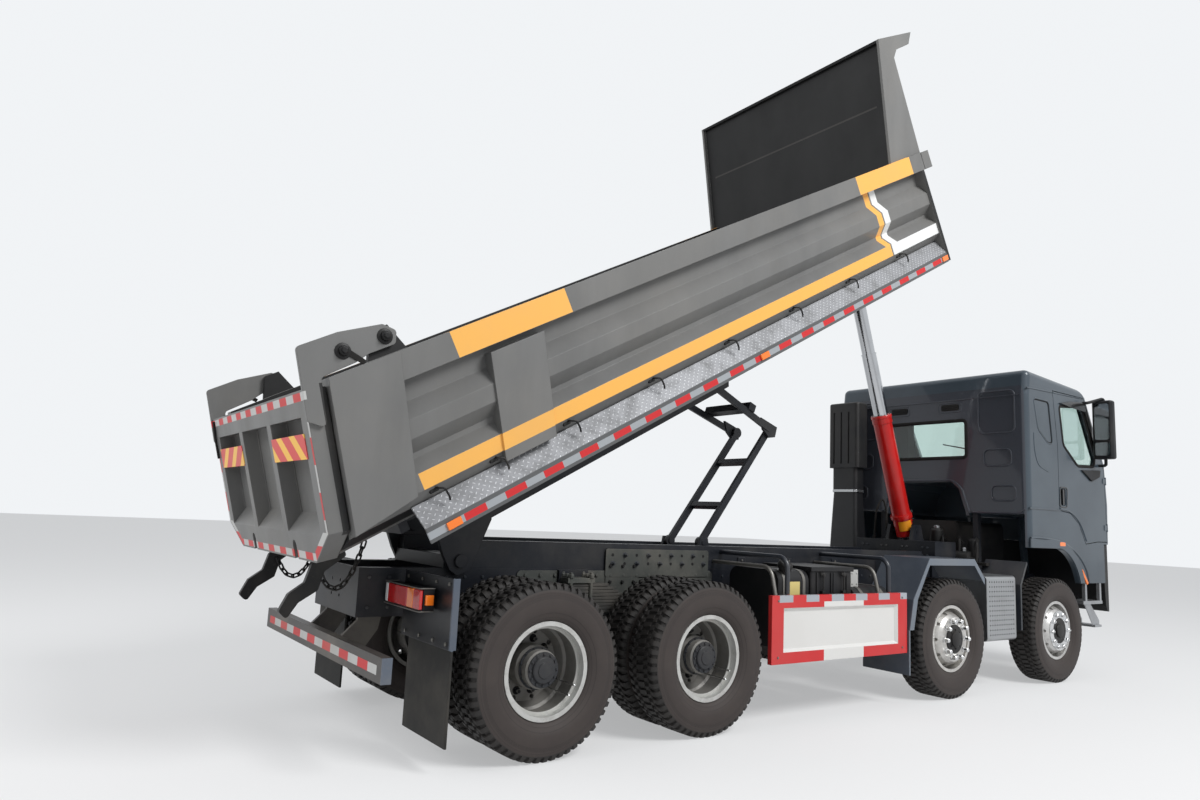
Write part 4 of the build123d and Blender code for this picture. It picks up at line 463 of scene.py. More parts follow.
def rim_metal(name, axle, lip, well_shade, deep_radius, polish, well_y, metal):
    """Wheel metal whose lip is bright, and whose well is painted darker as painted shade, with patches of
    dust over it all.
    """
    f = Finish(name)
    x, y, z = truck_axes(f, AXLE_X[axle], TYRE_RADIUS)
    radius = (x * x + z * z).root()
    shallow = radius.eased(deep_radius, deep_radius + 0.006)
    well = (1.0 - shallow).either(1.0 - y.eased(well_y - 0.008, well_y))
    dust = f.noise(16.0, 5.0, 0.6).eased(0.4, 0.8) * 0.4
    # The well, and the disc inside it, take the darker grey: painted shade deep in the wheel.
    f.feed(base_color=f.mixed(dust, f.mixed(well, lip, well_shade), srgb(110, 105, 98)),
           roughness=polish + dust * 0.4 + well * 0.1, metallic=metal - well * (metal - 0.2))
    return f.bump(f.noise(220.0, 2.0), 0.08, 0.0006, 0.003)


def silencer_plate():
    """Bright sheet, perforated on its outer face, with the holes painted near-black as painted shade."""
    f = Finish("silencer_plate")
    x, y, z = truck_axes(f, SILENCER_BACK, SILENCER_FOOT)
    columns, rows = (0.03, 0.504), (0.04, 0.592)
    pitch_x, pitch_z = 0.0431, 0.046
    u = (x - columns[0]).wrapped(pitch_x) - pitch_x / 2
    v = (z - rows[0]).wrapped(pitch_z) - pitch_z / 2
    hole = (1.0 - (u * u + v * v).eased(0.00005, 0.00008)) * y.over(1.186)
    hole = hole * x.within(*columns) * z.within(*rows)
    grime = f.noise(5.0, 5.0).eased(0.45, 0.8) * 0.3
    metal = f.mixed(grime, srgb(168, 170, 172), srgb(104, 100, 95))
    # The holes are painted near-black: painted shade seen through the perforations.
    f.feed(base_color=f.mixed(hole, metal, srgb(22, 22, 22)), roughness=0.33 + hole * 0.5,
           metallic=0.9 - hole * 0.8)
    return f.bump(1.0 - hole, 0.5, 0.003, 0.01)


def mudguard_paint():
    """Bluish steel with a lighter lip in front, dark rubber and plates at the rear."""
    f = Finish("mudguard_paint", specular_ior_level=SOFT_SHINE)
    x, y, z = truck_axes(f)
    rear = x.under(0.0)
    rubber_flap = rear * z.under(0.685)
    lip = y.over(1.234) * (1.0 - rear)
    tail_plate = f.mixed(y.over(1.197), srgb(24, 26, 31), srgb(78, 86, 98))
    steel = f.mixed(f.noise(2.4, 5.0).eased(0.3, 0.7), srgb(78, 85, 95), srgb(62, 68, 78))
    steel = f.mixed(lip, steel, srgb(104, 112, 122))
    steel = f.mixed(rear, steel, tail_plate)
    steel = f.mixed(x.over(HALF_GUARD_BACK), steel, srgb(38, 43, 50))
    colour, mask = dusted(f, f.mixed(rubber_flap, steel, srgb(21, 21, 20)), DUST, 0.14)
    f.feed(base_color=colour, roughness=0.36 + mask * 0.4 + rubber_flap * 0.35)
    return f.bump(f.noise(120.0, 3.0), 0.15, 0.0012, 0.004)


def guard_paint():
    """Red frame with white middles on its rails, tape along its top, a white panel, and a darker red of
    painted shade on its inner faces.
    """
    f = Finish("guard_paint")
    x, y, z = truck_axes(f, GUARD_BACK, GUARD_FOOT)
    strip = z.over(0.457)
    panel = x.within(0.13, 1.57) * z.within(0.085, 0.415)
    white = panel.either(x.within(0.6, 1.1) * (1.0 - strip))
    silver = strip * (1.0 - banded(x + 0.07, 0.305, 0.5))
    colour = f.mixed(f.noise(4.0, 4.0), srgb(205, 26, 30), srgb(186, 22, 27))
    colour = f.mixed(white, colour, srgb(214, 213, 210))
    colour = f.mixed(silver, colour, srgb(160, 165, 172))
    # Faces inside y 1.19 are painted a darker red: painted shade on the faces turned in under the truck.
    colour = f.mixed(y.over(1.19), srgb(120, 22, 22), colour)
    colour = f.mixed(y.under(1.18).either(z.over(0.515)), colour, srgb(40, 44, 52))
    colour, mask = dusted(f, colour, DUST, 0.08)
    f.feed(base_color=colour, roughness=0.3 + mask * 0.5)
    return f.bump(f.noise(120.0, 2.0), 0.1, 0.001, 0.004)


def underrun_paint():
    """Brown-grey bar with a strip of red and white tape."""
    f = Finish("underrun_paint")
    x, y, z = truck_axes(f, UNDERRUN_BACK, UNDERRUN_FOOT)
    strip = z.within(0.04, 0.092) * x.under(0.004) * y.under(1.13)
    tape = f.mixed(banded(f.along((0, 1, 0)), 0.33, 0.5), TAPE_WHITE, TAPE_RED)
    base = f.mixed(f.noise(5.0, 5.0), srgb(64, 60, 57), srgb(52, 50, 50))
    base = f.mixed(y.over(1.199), base, srgb(84, 92, 104))
    colour, mask = dusted(f, f.mixed(strip, base, tape), DUST, 0.35)
    f.feed(base_color=colour, roughness=0.45 + mask * 0.4)
    return f.bump(f.noise(90.0, 3.0), 0.15, 0.001)


def brushed(name, colour, roughness, metallic, stretch):
    """Bare metal with a grain drawn out one way and a little grime."""
    f = Finish(name, metallic=metallic)
    grain = f.noise(60.0, 4.0, 0.7, stretch)
    grime = f.noise(4.0, 5.0).eased(0.45, 0.8) * 0.35
    f.feed(base_color=f.mixed(grime, colour, srgb(96, 92, 86)),
           roughness=roughness + grain * 0.12 + grime * 0.4)
    return f.bump(grain, 0.08, 0.0005)


def intake_plastic():
    """Black moulding with a bright clamp round the duct."""
    f = Finish("intake_plastic", specular_ior_level=SOFT_SHINE)
    clamp = f.along((0, 0, 1)).within(1.942, 1.972)
    colour, mask = dusted(f, srgb(22, 23, 26), DUST, 0.05)
    f.feed(base_color=f.mixed(clamp, colour, srgb(176, 178, 180)),
           roughness=0.5 - clamp * 0.25 + mask * 0.3, metallic=clamp * 0.9)
    return f.bump(f.noise(260.0, 3.0), 0.15, 0.0012, 0.006)


def glazing():
    """Greenish safety glass."""
    return Finish("glazing", base_color=srgb(222, 236, 232), roughness=0.02, ior=1.45,
                  transmission_weight=1.0, specular_ior_level=0.5)


def lens(name, colour):
    """Moulded lamp lens with small ribs."""
    f = Finish(name, base_color=colour, roughness=0.12, coat_weight=0.6)
    ribs = f.along((0, 1, 0)).wrapped(0.008)
    return f.bump(abs(ribs - 0.004) * 200.0, 0.4, 0.002)


FINISHES = {maker.__name__: maker() for maker in (
    bed_paint, tailgate_paint, board_paint, silencer_plate, mudguard_paint, tread_plate, cab_paint,
    guard_paint, underrun_paint, intake_plastic, tyre_rubber, glazing)}
# Bare metals: colour, roughness, metal, and how the grain is drawn out
BARE_METALS = {
    "chrome": ((188, 190, 193), 0.1, 1.0, (0.4, 0.4, 6.0)),
    "aluminium": ((168, 170, 173), 0.32, 0.85, (6.0, 6.0, 0.4)),
    "bolt_steel": ((120, 118, 114), 0.4, 0.8, (6.0, 6.0, 0.4)),
    "polished": ((222, 223, 224), 0.12, 1.0, (1, 1, 1)),
    "mirror_glass": ((200, 206, 210), 0.03, 1.0, (1, 1, 1)),
}
RUBBERS = {"flap_rubber": (27, 27, 26), "seal_rubber": (20, 20, 21)}
LENSES = {"red_lens": (190, 16, 18), "amber_lens": (244, 120, 20), "clear_lens": (222, 224, 224)}
# Plain paints and plastics: colour, shade, roughness, share of dust, and what else is their own
PLAIN_FINISHES = {
    "frame_paint": ((30, 33, 40), (25, 28, 34), 0.36, 0.1, {}),
    "cab_trim": ((58, 58, 60), (48, 48, 50), 0.7, 0.1, {"grain": 90.0}),
    "black_plastic": ((27, 28, 31), (22, 23, 26), 0.45, 0.06, {"grain": 260.0}),
    "hoist_red": ((200, 20, 17), (182, 17, 15), 0.25, 0.08, {"coat": 0.3}),
    "cast_iron": ((30, 31, 33), (24, 25, 27), 0.5, 0.12, {"grain": 70.0}),
    "dark_oxide": ((28, 28, 29), (22, 22, 23), 0.4, 0.1, {"grain": 60.0}),
    "bed_grey": ((109, 109, 108), (90, 90, 89), 0.4, 0.2, {}),
    "inner_black": ((20, 20, 21), (26, 26, 26), 0.5, 0.06, {}),
    "plate_paint": ((74, 77, 74), (62, 64, 62), 0.45, 0.35, {}),
    "frame_bolt": ((52, 56, 62), (44, 48, 54), 0.4, 0.3, {}),
    "hub_paint": ((44, 46, 50), (36, 37, 41), 0.34, 0.12, {"grain": 60.0}),
    "label_yellow": ((226, 208, 138), (214, 196, 126), 0.5, 0.1, {}),
    "pale_plastic": ((196, 197, 194), (180, 181, 178), 0.5, 0.2, {}),
    "leaf_steel": ((58, 58, 57), (46, 46, 46), 0.5, 0.3, {}),
    "label_amber": ((232, 150, 30), (222, 140, 26), 0.4, 0.1, {}),
    "gloss_black": ((16, 17, 19), (14, 15, 16), 0.16, 0.04, {"coat": 0.5}),
    "rim_satin": ((196, 196, 192), (182, 182, 178), 0.4, 0.25, {"metallic": 0.3}),
}
for finish_name, (colour, *values) in BARE_METALS.items():
    FINISHES[finish_name] = brushed(finish_name, srgb(*colour), *values)
for finish_name, colour in RUBBERS.items():
    FINISHES[finish_name] = rubber(finish_name, srgb(*colour))
for finish_name, colour in LENSES.items():
    FINISHES[finish_name] = lens(finish_name, srgb(*colour))
for finish_name, (colour, shade, roughness, dust, more) in PLAIN_FINISHES.items():
    FINISHES[finish_name] = plain_paint(finish_name, srgb(*colour), srgb(*shade), roughness, dust, **more)

# Rims: the lip's grey and the well's darker grey of painted shade, the well's radius, roughness, the y inside
# which all is well, and metal
STEER_RIM = (0.08, 0.3, 1.0, 0.75)
TWIN_RIM = (srgb(190, 190, 187), srgb(126, 124, 120), 0.246, 0.42, 1.168, 0.3)
RIMS = {
    "first": rim_metal("front_rim_metal", "first", srgb(206, 205, 203), srgb(190, 190, 192), *STEER_RIM),
    "second": rim_metal("second_rim_metal", "second", srgb(204, 202, 198), srgb(186, 186, 188), *STEER_RIM),
    "third": rim_metal("third_rim_metal", "third", *TWIN_RIM),
    "rear": rim_metal("rear_rim_metal", "rear", *TWIN_RIM),
}

# The finish of each CAD node that shows
NODE_FINISH = {
    "bed_paint": ("bed_body",),
    "tailgate_paint": ("tailgate",),
    "tread_plate": ("bed_skirts",),
    "frame_paint": ("bed_underframe", "tipper_subframe", "stabiliser_lower_arm", "stabiliser_upper_arm",
                    "hoist_mount", "chassis_frame"),
    "cab_paint": ("cab_shell", "left_door", "right_door"),
    "intake_plastic": ("air_intake",),
    "black_plastic": ("front_bumper", "battery_box", "left_mirror", "right_mirror", "tanks", "lamps",
                      "front_flap"),
    "cab_trim": ("cab_interior", "steering_wheel"),
    "glazing": ("cab_glass", "left_door_glass", "right_door_glass"),
    "mudguard_paint": ("mudguards",),
    "hoist_red": ("hoist_barrel",),
    "chrome": tuple(f"hoist_stage_{number}" for number in (1, 2, 3, 4)),
    "silencer_plate": ("silencer",),
    "aluminium": ("cab_steps",),
    "guard_paint": ("side_guards",),
    "underrun_paint": ("underrun_bar",),
    "cast_iron": ("drive_axles", "steer_axle_beams", "leaf_springs", "engine")
    + tuple(f"{axle}_axle_{side}_knuckle" for axle in ("first", "second") for side in SIDES),
    "dark_oxide": ("tailgate_hooks",),
}


def paint_node(node, finish):
    """Give every slot of a CAD node one finish."""
    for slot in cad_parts[node].material_slots:
        slot.material = finish.material


for finish_name, nodes in NODE_FINISH.items():
    for node in nodes:
        paint_node(node, FINISHES[finish_name])
for axle, finish in RIMS.items():
    for side in SIDES:
        paint_node(f"{axle}_axle_{side}_rim", finish)


# Pieces. An edge is bevelled where its faces turn by more than the first angle, and shaded sharp past the
# second, or the third on tread.
BEVEL_ANGLE = math.radians(30)
SHARP_ANGLE = math.radians(35)
TREAD_SHARP_ANGLE = math.radians(28)


def in_axes(p, value, q, axis):
    """A point whose value is along the axis, and p and q along the two others."""
    return {"x": (value, p, q), "y": (p, value, q), "z": (p, q, value)}[axis]


class Shape:
    """The points and faces of one piece, gathered from simple forms."""

    def __init__(self):
        self.points = []
        self.faces = []

    def add(self, points, faces):
        """Add points, and faces that count from the first of them."""
        start = len(self.points)
        self.points += [tuple(point) for point in points]
        self.faces += [tuple(start + index for index in face) for face in faces]
        return self

    def loft(self, rings, closed=True, capped=True, around=False):
        """Join rings of as many points each in order, and the last to the first if it goes around."""
        count = len(rings[0])
        last = (len(rings) - 1) * count
        faces = []
        for row in range(len(rings) if around else len(rings) - 1):
            here, there = row * count, (row + 1) % len(rings) * count
            for index in range(count if closed else count - 1):
                after = (index + 1) % count
                faces.append((here + index, here + after, there + after, there + index))
        if capped and closed:
            faces.append(tuple(reversed(range(count))))
            faces.append(tuple(last + index for index in range(count)))
        return self.add([point for ring in rings for point in ring], faces)

    def prism(self, outline, low, high, axis="y"):
        """An outline in the two other axes, filled from low to high along one axis."""
        return self.loft([[in_axes(p, value, q, axis) for p, q in outline] for value in (low, high)])

    def box(self, low, high):
        """A block between two opposite corners."""
        outline = [(low[0], low[2]), (high[0], low[2]), (high[0], high[2]), (low[0], high[2])]
        return self.prism(outline, low[1], high[1])

    def turned(self, profile, centre, axis="y", segments=32, capped=True):
        """A profile of (radius, reach) turned about an axis through a centre."""
        rings = []
        for radius, reach in profile:
            ring = []
            for step in range(segments):
                angle = 2 * math.pi * step / segments
                offset = in_axes(radius * math.cos(angle), reach, radius * math.sin(angle), axis)
                ring.append(tuple(centre[i] + offset[i] for i in range(3)))
            rings.append(ring)
        return self.loft(rings, capped=capped)

    def tube(self, path, radius, sides=12):
        """A round bar along a path of points."""
        path = [Vector(point) for point in path]
        last = len(path) - 1
        ways = [(path[min(i + 1, last)] - path[max(i - 1, 0)]).normalized() for i in range(len(path))]
        across = ways[0].orthogonal().normalized()
        turns = [2 * math.pi * k / sides for k in range(sides)]
        rings = []
        for point, way in zip(path, ways):
            across = (across - way * across.dot(way)).normalized()
            other = way.cross(across)
            rings.append([
                tuple(point + across * (radius * math.cos(turn)) + other * (radius * math.sin(turn)))
                for turn in turns])
        return self.loft(rings)

    def pin(self, place, radius, length, tip, end, axis="y", sides=10):
        """A round pin on its place, that narrows to its tip beyond its length."""
        return self.turned([(radius, 0.0), (radius, length), (tip, end)], place, axis, sides)

    def moved(self, place):
        """The shape with every point put through a function."""
        made = Shape()
        made.add([place(point) for point in self.points], self.faces)
        return made

    def on_truck(self):
        """Points given as x from the rear axle, y and z."""
        return self.moved(lambda p: truck_point(*p))

    def on_bed(self):
        """Points given as a, y and b."""
        return self.moved(lambda p: bed_point(*p))

    def on_gate(self):
        """Points given as down, y and out."""
        return self.moved(lambda p: gate_point(*p))

    def both_sides(self):
        """The shape and its mirror image across y."""
        return self.take(self.moved(lambda p: (p[0], -p[1], p[2])))

    def take(self, *others):
        """Add other shapes to this one."""
        for other in others:
            self.add(other.points, other.faces)
        return self

    def make(self, name, finish, body, slot, bevel=0.0, sharp=SHARP_ANGLE, centre=(0, 0, 0), replaces=()):
        """Make the piece, and say which body it rides on. The slot is not used."""
        mesh = bpy.data.meshes.new(name)
        mesh.from_pydata([tuple(p[i] - centre[i] for i in range(3)) for p in self.points], [], self.faces)
        mesh.validate()
        outward = bmesh.new()
        outward.from_mesh(mesh)
        bmesh.ops.recalc_face_normals(outward, faces=outward.faces)
        outward.to_mesh(mesh)
        outward.free()
        for polygon in mesh.polygons:
            polygon.use_smooth = True
        mesh.set_sharp_from_angle(angle=sharp)
        mesh.materials.append(FINISHES[finish].material)
        piece = bpy.data.objects.new(name, mesh)
        bpy.context.scene.collection.objects.link(piece)
        piece.location = centre
        if bevel > 0:
            modifier = piece.modifiers.new("edges", "BEVEL")
            modifier.width = bevel
            modifier.segments = 2
            modifier.limit_method = "ANGLE"
            modifier.angle_limit = BEVEL_ANGLE
            modifier.harden_normals = True
        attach(piece, body)
        if replaces:
            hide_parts(*replaces)


# A turned corner takes up at most this share of the runs beside it
NEARLY_HALF = 0.49


def rounded(points, radius, steps=6):
    """A path with its corners turned by a radius."""
    points = [Vector(point) for point in points]
    path = [points[0]]
    for before, corner, after in zip(points, points[1:], points[2:]):
        reach_in = min(radius, (before - corner).length * NEARLY_HALF)
        reach_out = min(radius, (after - corner).length * NEARLY_HALF)
        start = corner + (before - corner).normalized() * reach_in
        end = corner + (after - corner).normalized() * reach_out
        for t in (step / steps for step in range(steps + 1)):
            path.append(start * (1 - t) ** 2 + corner * (2 * t * (1 - t)) + end * t ** 2)
    return path + [points[-1]]


# Tyres: side walls, shoulder lugs with open gaps between them, and a block tread
LUGS = 58
# The crown's blocks lean round the tyre, by this share of a lug at this reach
SKEW = 2 * math.pi / LUGS * 0.22
SKEW_REACH = 0.1
CROWN_FOOT = 0.515
GAP_SLOPE = 0.25
# Round one lug: the share of its pitch, and whether the outer and the middle blocks stand there
LUG_STEPS = ((0.0, True, True), (0.3, True, False), (0.5, True, False), (0.6, False, True),
             (0.96, False, True))
# Side wall lines: radius, and reach from the tyre's middle
SIDE_WALL = [
    (0.286, 0.101), (0.301, 0.104), (0.305, 0.114), (0.314, 0.124), (0.325, 0.131), (0.33, 0.1345),
    (0.352, 0.142), (0.356, 0.1445), (0.385, 0.1500), (0.42, 0.1525), (0.45, 0.1505), (0.472, 0.147),
    (0.476, 0.1475), (0.489, 0.1435),
]
# Shoulder lines: radius, reach, and depth of the gaps between lugs
SHOULDER = [
    (0.497, 0.1415, 0.0), (0.505, 0.1395, 0.012), (0.521, 0.131, 0.016), (0.532, 0.1215, 0.016),
    (0.535, 0.114, 0.016),
]
# Crown lines: radius, reach, depth of the cut, and the block that fills it
CROWN = [
    (0.535, 0.086, 0.016, "outer"), (0.5355, 0.084, 0.014, "outer"), (0.5355, 0.079, 0.014, "none"),
    (0.5355, 0.077, 0.013, "middle"), (0.5355, 0.044, 0.013, "middle"), (0.5355, 0.042, 0.013, "none"),
    (0.5355, 0.037, 0.013, "none"), (0.5355, 0.035, 0.013, "outer"), (0.5355, 0.006, 0.013, "outer"),
    (0.5355, 0.004, 0.013, "outer"),
]


def tyre_section(outer, middle):
    """The tyre's outline as (radius, reach), from one bead to the other."""
    standing = {"outer": outer, "middle": middle, "none": False}
    half = list(SIDE_WALL)
    for radius, reach, depth in SHOULDER:
        drop = 0 if outer else depth
        half.append((radius - drop, reach - drop * GAP_SLOPE))
    half += [(radius - (0 if standing[block] else depth), reach) for radius, reach, depth, block in CROWN]
    return half + [(radius, -reach) for radius, reach in reversed(half)]


def tyre_shape(wheel_y):
    """One tyre about the origin's axle, with its middle at wheel_y."""
    rings = []
    for lug in range(LUGS):
        for share, outer, middle in LUG_STEPS:
            angle = 2 * math.pi * (lug + share) / LUGS
            ring = []
            for radius, reach in tyre_section(outer, middle):
                on_crown = radius > CROWN_FOOT and abs(reach) < SKEW_REACH
                turn = angle + (SKEW * reach / SKEW_REACH if on_crown else 0.0)
                ring.append((radius * math.cos(turn), wheel_y + reach, radius * math.sin(turn)))
            rings.append(ring)
    return Shape().loft(rings, capped=False, around=True)


for axle, x in AXLE_X.items():
    wheels = (STEER_WHEEL_Y,) if axle in ("first", "second") else (OUTER_TWIN_Y, INNER_TWIN_Y)
    shape = Shape().take(*(tyre_shape(wheel_y) for wheel_y in wheels))
    hub = truck_point(x, 0, TYRE_RADIUS)
    for side, sign in SIDES.items():
        turned = shape.moved(lambda p: (p[0] * sign + hub[0], p[1] * sign + hub[1], p[2] + hub[2]))
        turned.make(f"{axle}_axle_{side}_treaded_tyre", "tyre_rubber", f"{axle}_axle_{side}_wheel", "tyre",
                    centre=hub, sharp=TREAD_SHARP_ANGLE, replaces=[f"{axle}_axle_{side}_tyre"])


# Helpers for the small pieces
def hex_heads(places, radius, height, axis="y", way=1, sides=6):
    """Bolt heads standing on their places."""
    made = Shape()
    for place in places:
        made.pin(place, radius, way * height * 0.8, radius * 0.8, way * height, axis, sides)
    return made


def circle(radius, count, y, shift=0.0):
    """Places round the axle, at a distance along it."""
    turns = [2 * math.pi * (k + shift) / count for k in range(count)]
    return [(radius * math.cos(turn), y, radius * math.sin(turn)) for turn in turns]


def washer(centre, inner, outer, low, high, axis="y", segments=40):
    """A flat ring."""
    profile = [(inner, low), (outer, low), (outer, high), (inner, high), (inner, low)]
    return Shape().turned(profile, centre, axis, segments, capped=False)


def rounded_outline(low, high, radius, steps=5):
    """The outline of a rectangle with round corners, in two axes."""
    left, bottom, right, top = low[0] + radius, low[1] + radius, high[0] - radius, high[1] - radius
    points = []
    for quarter, (p, q) in enumerate(((right, top), (left, top), (left, bottom), (right, bottom))):
        for step in range(steps + 1):
            angle = math.pi / 2 * (quarter + step / steps)
            points.append((p + radius * math.cos(angle), q + radius * math.sin(angle)))
    return points


def band(inner, outer, low, high, axis="x"):
    """A flat strap between two outlines of as many points."""
    edges = ((inner, low), (outer, low), (outer, high), (inner, high), (inner, low))
    rings = [[in_axes(p, value, q, axis) for p, q in outline] for outline, value in edges]
    return Shape().loft(rings, capped=False)


# Wheels: nuts, hubs, caps, inner lips and valves, made once about the origin with y outward. A face is
# where the nuts of one kind of wheel stand.
ORIGIN = (0, 0, 0)
STUD_CIRCLE = 0.1675
STUDS = 10
FIRST_FACE, SECOND_FACE, TWIN_FACE = 1.2315, 1.2272, 0.9415
VALVE_STEM = ((0.2, 0.942), (0.232, 1.0), (0.235, 1.145), (0.236, 1.185))


def first_axle_trim():
    """A stud plate with its nuts, and a plain cap with a ring round it."""
    studs = circle(STUD_CIRCLE, STUDS, FIRST_FACE)
    nuts = hex_heads(studs, 0.0245, 0.024).take(hex_heads(studs, 0.012, 0.034, sides=10))
    plate = washer(ORIGIN, 0.132, 0.203, SECOND_FACE, FIRST_FACE, segments=60)
    cap = Shape().turned([(0.071, 1.18), (0.071, 1.236), (0.066, 1.243), (0.05, 1.246), (0.0005, 1.247)],
                         ORIGIN, segments=36)
    cap.take(washer(ORIGIN, 0.074, 0.13, 1.226, 1.2295, segments=40))
    return [("nuts", nuts, "polished"), ("stud_plate", plate, "polished"), ("hub_cap", cap, "dark_oxide")]


def second_axle_trim():
    """Nuts under bright sleeves, and a bolted cap."""
    studs = circle(STUD_CIRCLE, STUDS, SECOND_FACE)
    nuts = hex_heads(studs, 0.026, 0.018)
    for place in studs:
        nuts.turned([(0.0205, 0.0), (0.02, 0.05), (0.015, 0.056)], place, "y", 14)
    cap = Shape().turned([(0.13, SECOND_FACE), (0.128, 1.234), (0.1, 1.238), (0.074, 1.241), (0.072, 1.252),
                          (0.062, 1.257), (0.0005, 1.258)], ORIGIN, segments=40)
    cap.take(hex_heads(circle(0.086, 8, 1.24), 0.0075, 0.008))
    return [("nuts", nuts, "polished"), ("hub_cap", cap, "dark_oxide")]


def twin_wheel_trim():
    """Deep nuts on washers, a long hub with bolted flanges, a rolled lip and two valve stems."""
    studs = circle(STUD_CIRCLE, STUDS, TWIN_FACE)
    nuts = hex_heads(studs, 0.021, 0.024)
    for place in studs:
        nuts.take(washer(place, 0.012, 0.026, 0.0, 0.004, segments=16))
        nuts.pin(place, 0.011, 0.04, 0.009, 0.043)
    hub = washer(ORIGIN, 0.08, 0.1085, 1.1642, 1.172, segments=40)
    hub.turned([(0.082, 1.164), (0.082, 1.183), (0.076, 1.189), (0.05, 1.191), (0.047, 1.197),
                (0.0005, 1.198)], ORIGIN, segments=36)
    hub.take(hex_heads(circle(0.095, 12, 1.172), 0.0085, 0.009))
    hub.take(washer(ORIGIN, 0.116, 0.131, 1.092, 1.1, segments=40))
    hub.take(hex_heads(circle(0.124, 12, 1.1, 0.5), 0.007, 0.007))
    lip = Shape().turned([(0.2725, 1.152), (0.262, 1.156), (0.2525, 1.158), (0.25, 1.163), (0.2525, 1.168),
                          (0.262, 1.167), (0.2725, 1.166), (0.2725, 1.152)],
                         ORIGIN, segments=72, capped=False)
    valves = Shape()
    for angle in (math.radians(205), math.radians(222)):
        c, s = math.cos(angle), math.sin(angle)
        stem = [(radius * c, y, radius * s) for radius, y in VALVE_STEM]
        valves.tube(rounded(stem, 0.03), 0.0042, 8)
        valves.pin(stem[-1], 0.0065, 0.024, 0.004, 0.026, sides=8)
    return [("nuts", nuts, "cast_iron"), ("hub_cap", hub, "hub_paint"), ("rim_lip", lip, "rim_satin"),
            ("valves", valves, "polished")]


WHEEL_TRIMS = {"rear": twin_wheel_trim, "third": twin_wheel_trim, "second": second_axle_trim,
               "first": first_axle_trim}
for axle, x in AXLE_X.items():
    hub = truck_point(x, 0, TYRE_RADIUS)
    trim_parts = WHEEL_TRIMS[axle]()
    for side, sign in SIDES.items():
        for part_name, shape, finish in trim_parts:
            turned = shape.moved(lambda p: (p[0] * sign + hub[0], p[1] * sign, p[2] + hub[2]))
            turned.make(f"{axle}_axle_{side}_{part_name}", finish, f"{axle}_axle_{side}_wheel", "wheel",
                        centre=hub)

# Tailgate: hazard boards, arm pins with their rubber straps, and a tie by its slanted edge
boards = Shape().box((0.235, 0.395, 0.0), (0.375, 1.075, 0.004)).both_sides().on_gate()
boards.make("hazard_boards", "board_paint", "tailgate", "bed_paint")
pin_heads = Shape()
for a, b in ((-0.464, 1.583), (-0.205, 1.58)):
    pin_heads.turned([(0.046, 0.0), (0.046, 0.006), (0.03, 0.01), (0.028, 0.03), (0.02, 0.036)],
                     (a, 1.215, b), "y", 24)
    pin_heads.take(hex_heads([(a, 1.25, b)], 0.019, 0.012))
pin_heads.both_sides().on_bed().make("arm_pin_heads", "dark_oxide", "tailgate", "black_plastic", bevel=0.002)
straps = Shape().prism([(-0.49, 1.6), (-0.455, 1.618), (-0.36, 1.49), (-0.385, 1.474)], 1.2155, 1.222)
straps.both_sides().on_bed().make("arm_straps", "flap_rubber", "tailgate", "black_plastic", bevel=0.002)
tie = Shape().tube([(0.02, 1.13, 0.008), (0.16, 1.15, 0.011), (0.3, 1.165, 0.008)], 0.009, 8)
tie.on_gate().make("gate_tie", "flap_rubber", "tailgate", "black_plastic")
RECESS_FLOOR = -0.098
welds = Shape()
for y in (-0.415, -0.325, 0.325, 0.415, -1.058, 1.058):
    welds.tube([(0.146, y, RECESS_FLOOR), (0.71, y, RECESS_FLOOR)], 0.006, 6)
welds.on_gate().make("gate_welds", "bed_grey", "tailgate", "bed_paint")

# Chain from the latch linkage down to the frame
CHAIN_PITCH, CHAIN_WIRE = 0.045, 0.0062


def chain(path):
    """Links along a path, each turned a quarter from the last."""
    made = Shape()
    path = [Vector(point) for point in path]
    spots = [path[0]]
    travelled = 0.0
    for before, after in zip(path, path[1:]):
        length = (after - before).length
        while travelled + length >= CHAIN_PITCH * len(spots):
            spots.append(before.lerp(after, (CHAIN_PITCH * len(spots) - travelled) / length))
        travelled += length
    half_length, half_width = CHAIN_PITCH * 0.5 + CHAIN_WIRE, CHAIN_PITCH * 0.32
    for number, (start, end) in enumerate(zip(spots, spots[1:])):
        way = (end - start).normalized()
        side = way.orthogonal().normalized()
        if number % 2:
            side = way.cross(side)
        middle = (start + end) / 2
        loop = []
        for step in range(13):
            angle = 2 * math.pi * step / 12
            reach = math.copysign(half_length - half_width, math.cos(angle)) + half_width * math.cos(angle)
            loop.append(middle + way * reach + side * (half_width * math.sin(angle)))
        made.tube(loop, CHAIN_WIRE, 6)
    return made


chain_path = rounded([(-1.226, 0.468, 1.1), (-1.17, 0.465, 0.99), (-1.08, 0.46, 0.96), (-0.99, 0.45, 1.09),
                      (-0.929, 0.44, 1.3)], 0.14, 8)
links = chain(chain_path).take(chain([(x, -y, z) for x, y, z in chain_path]))
links.on_truck().make("latch_chains", "dark_oxide", "bed", "cast_iron")

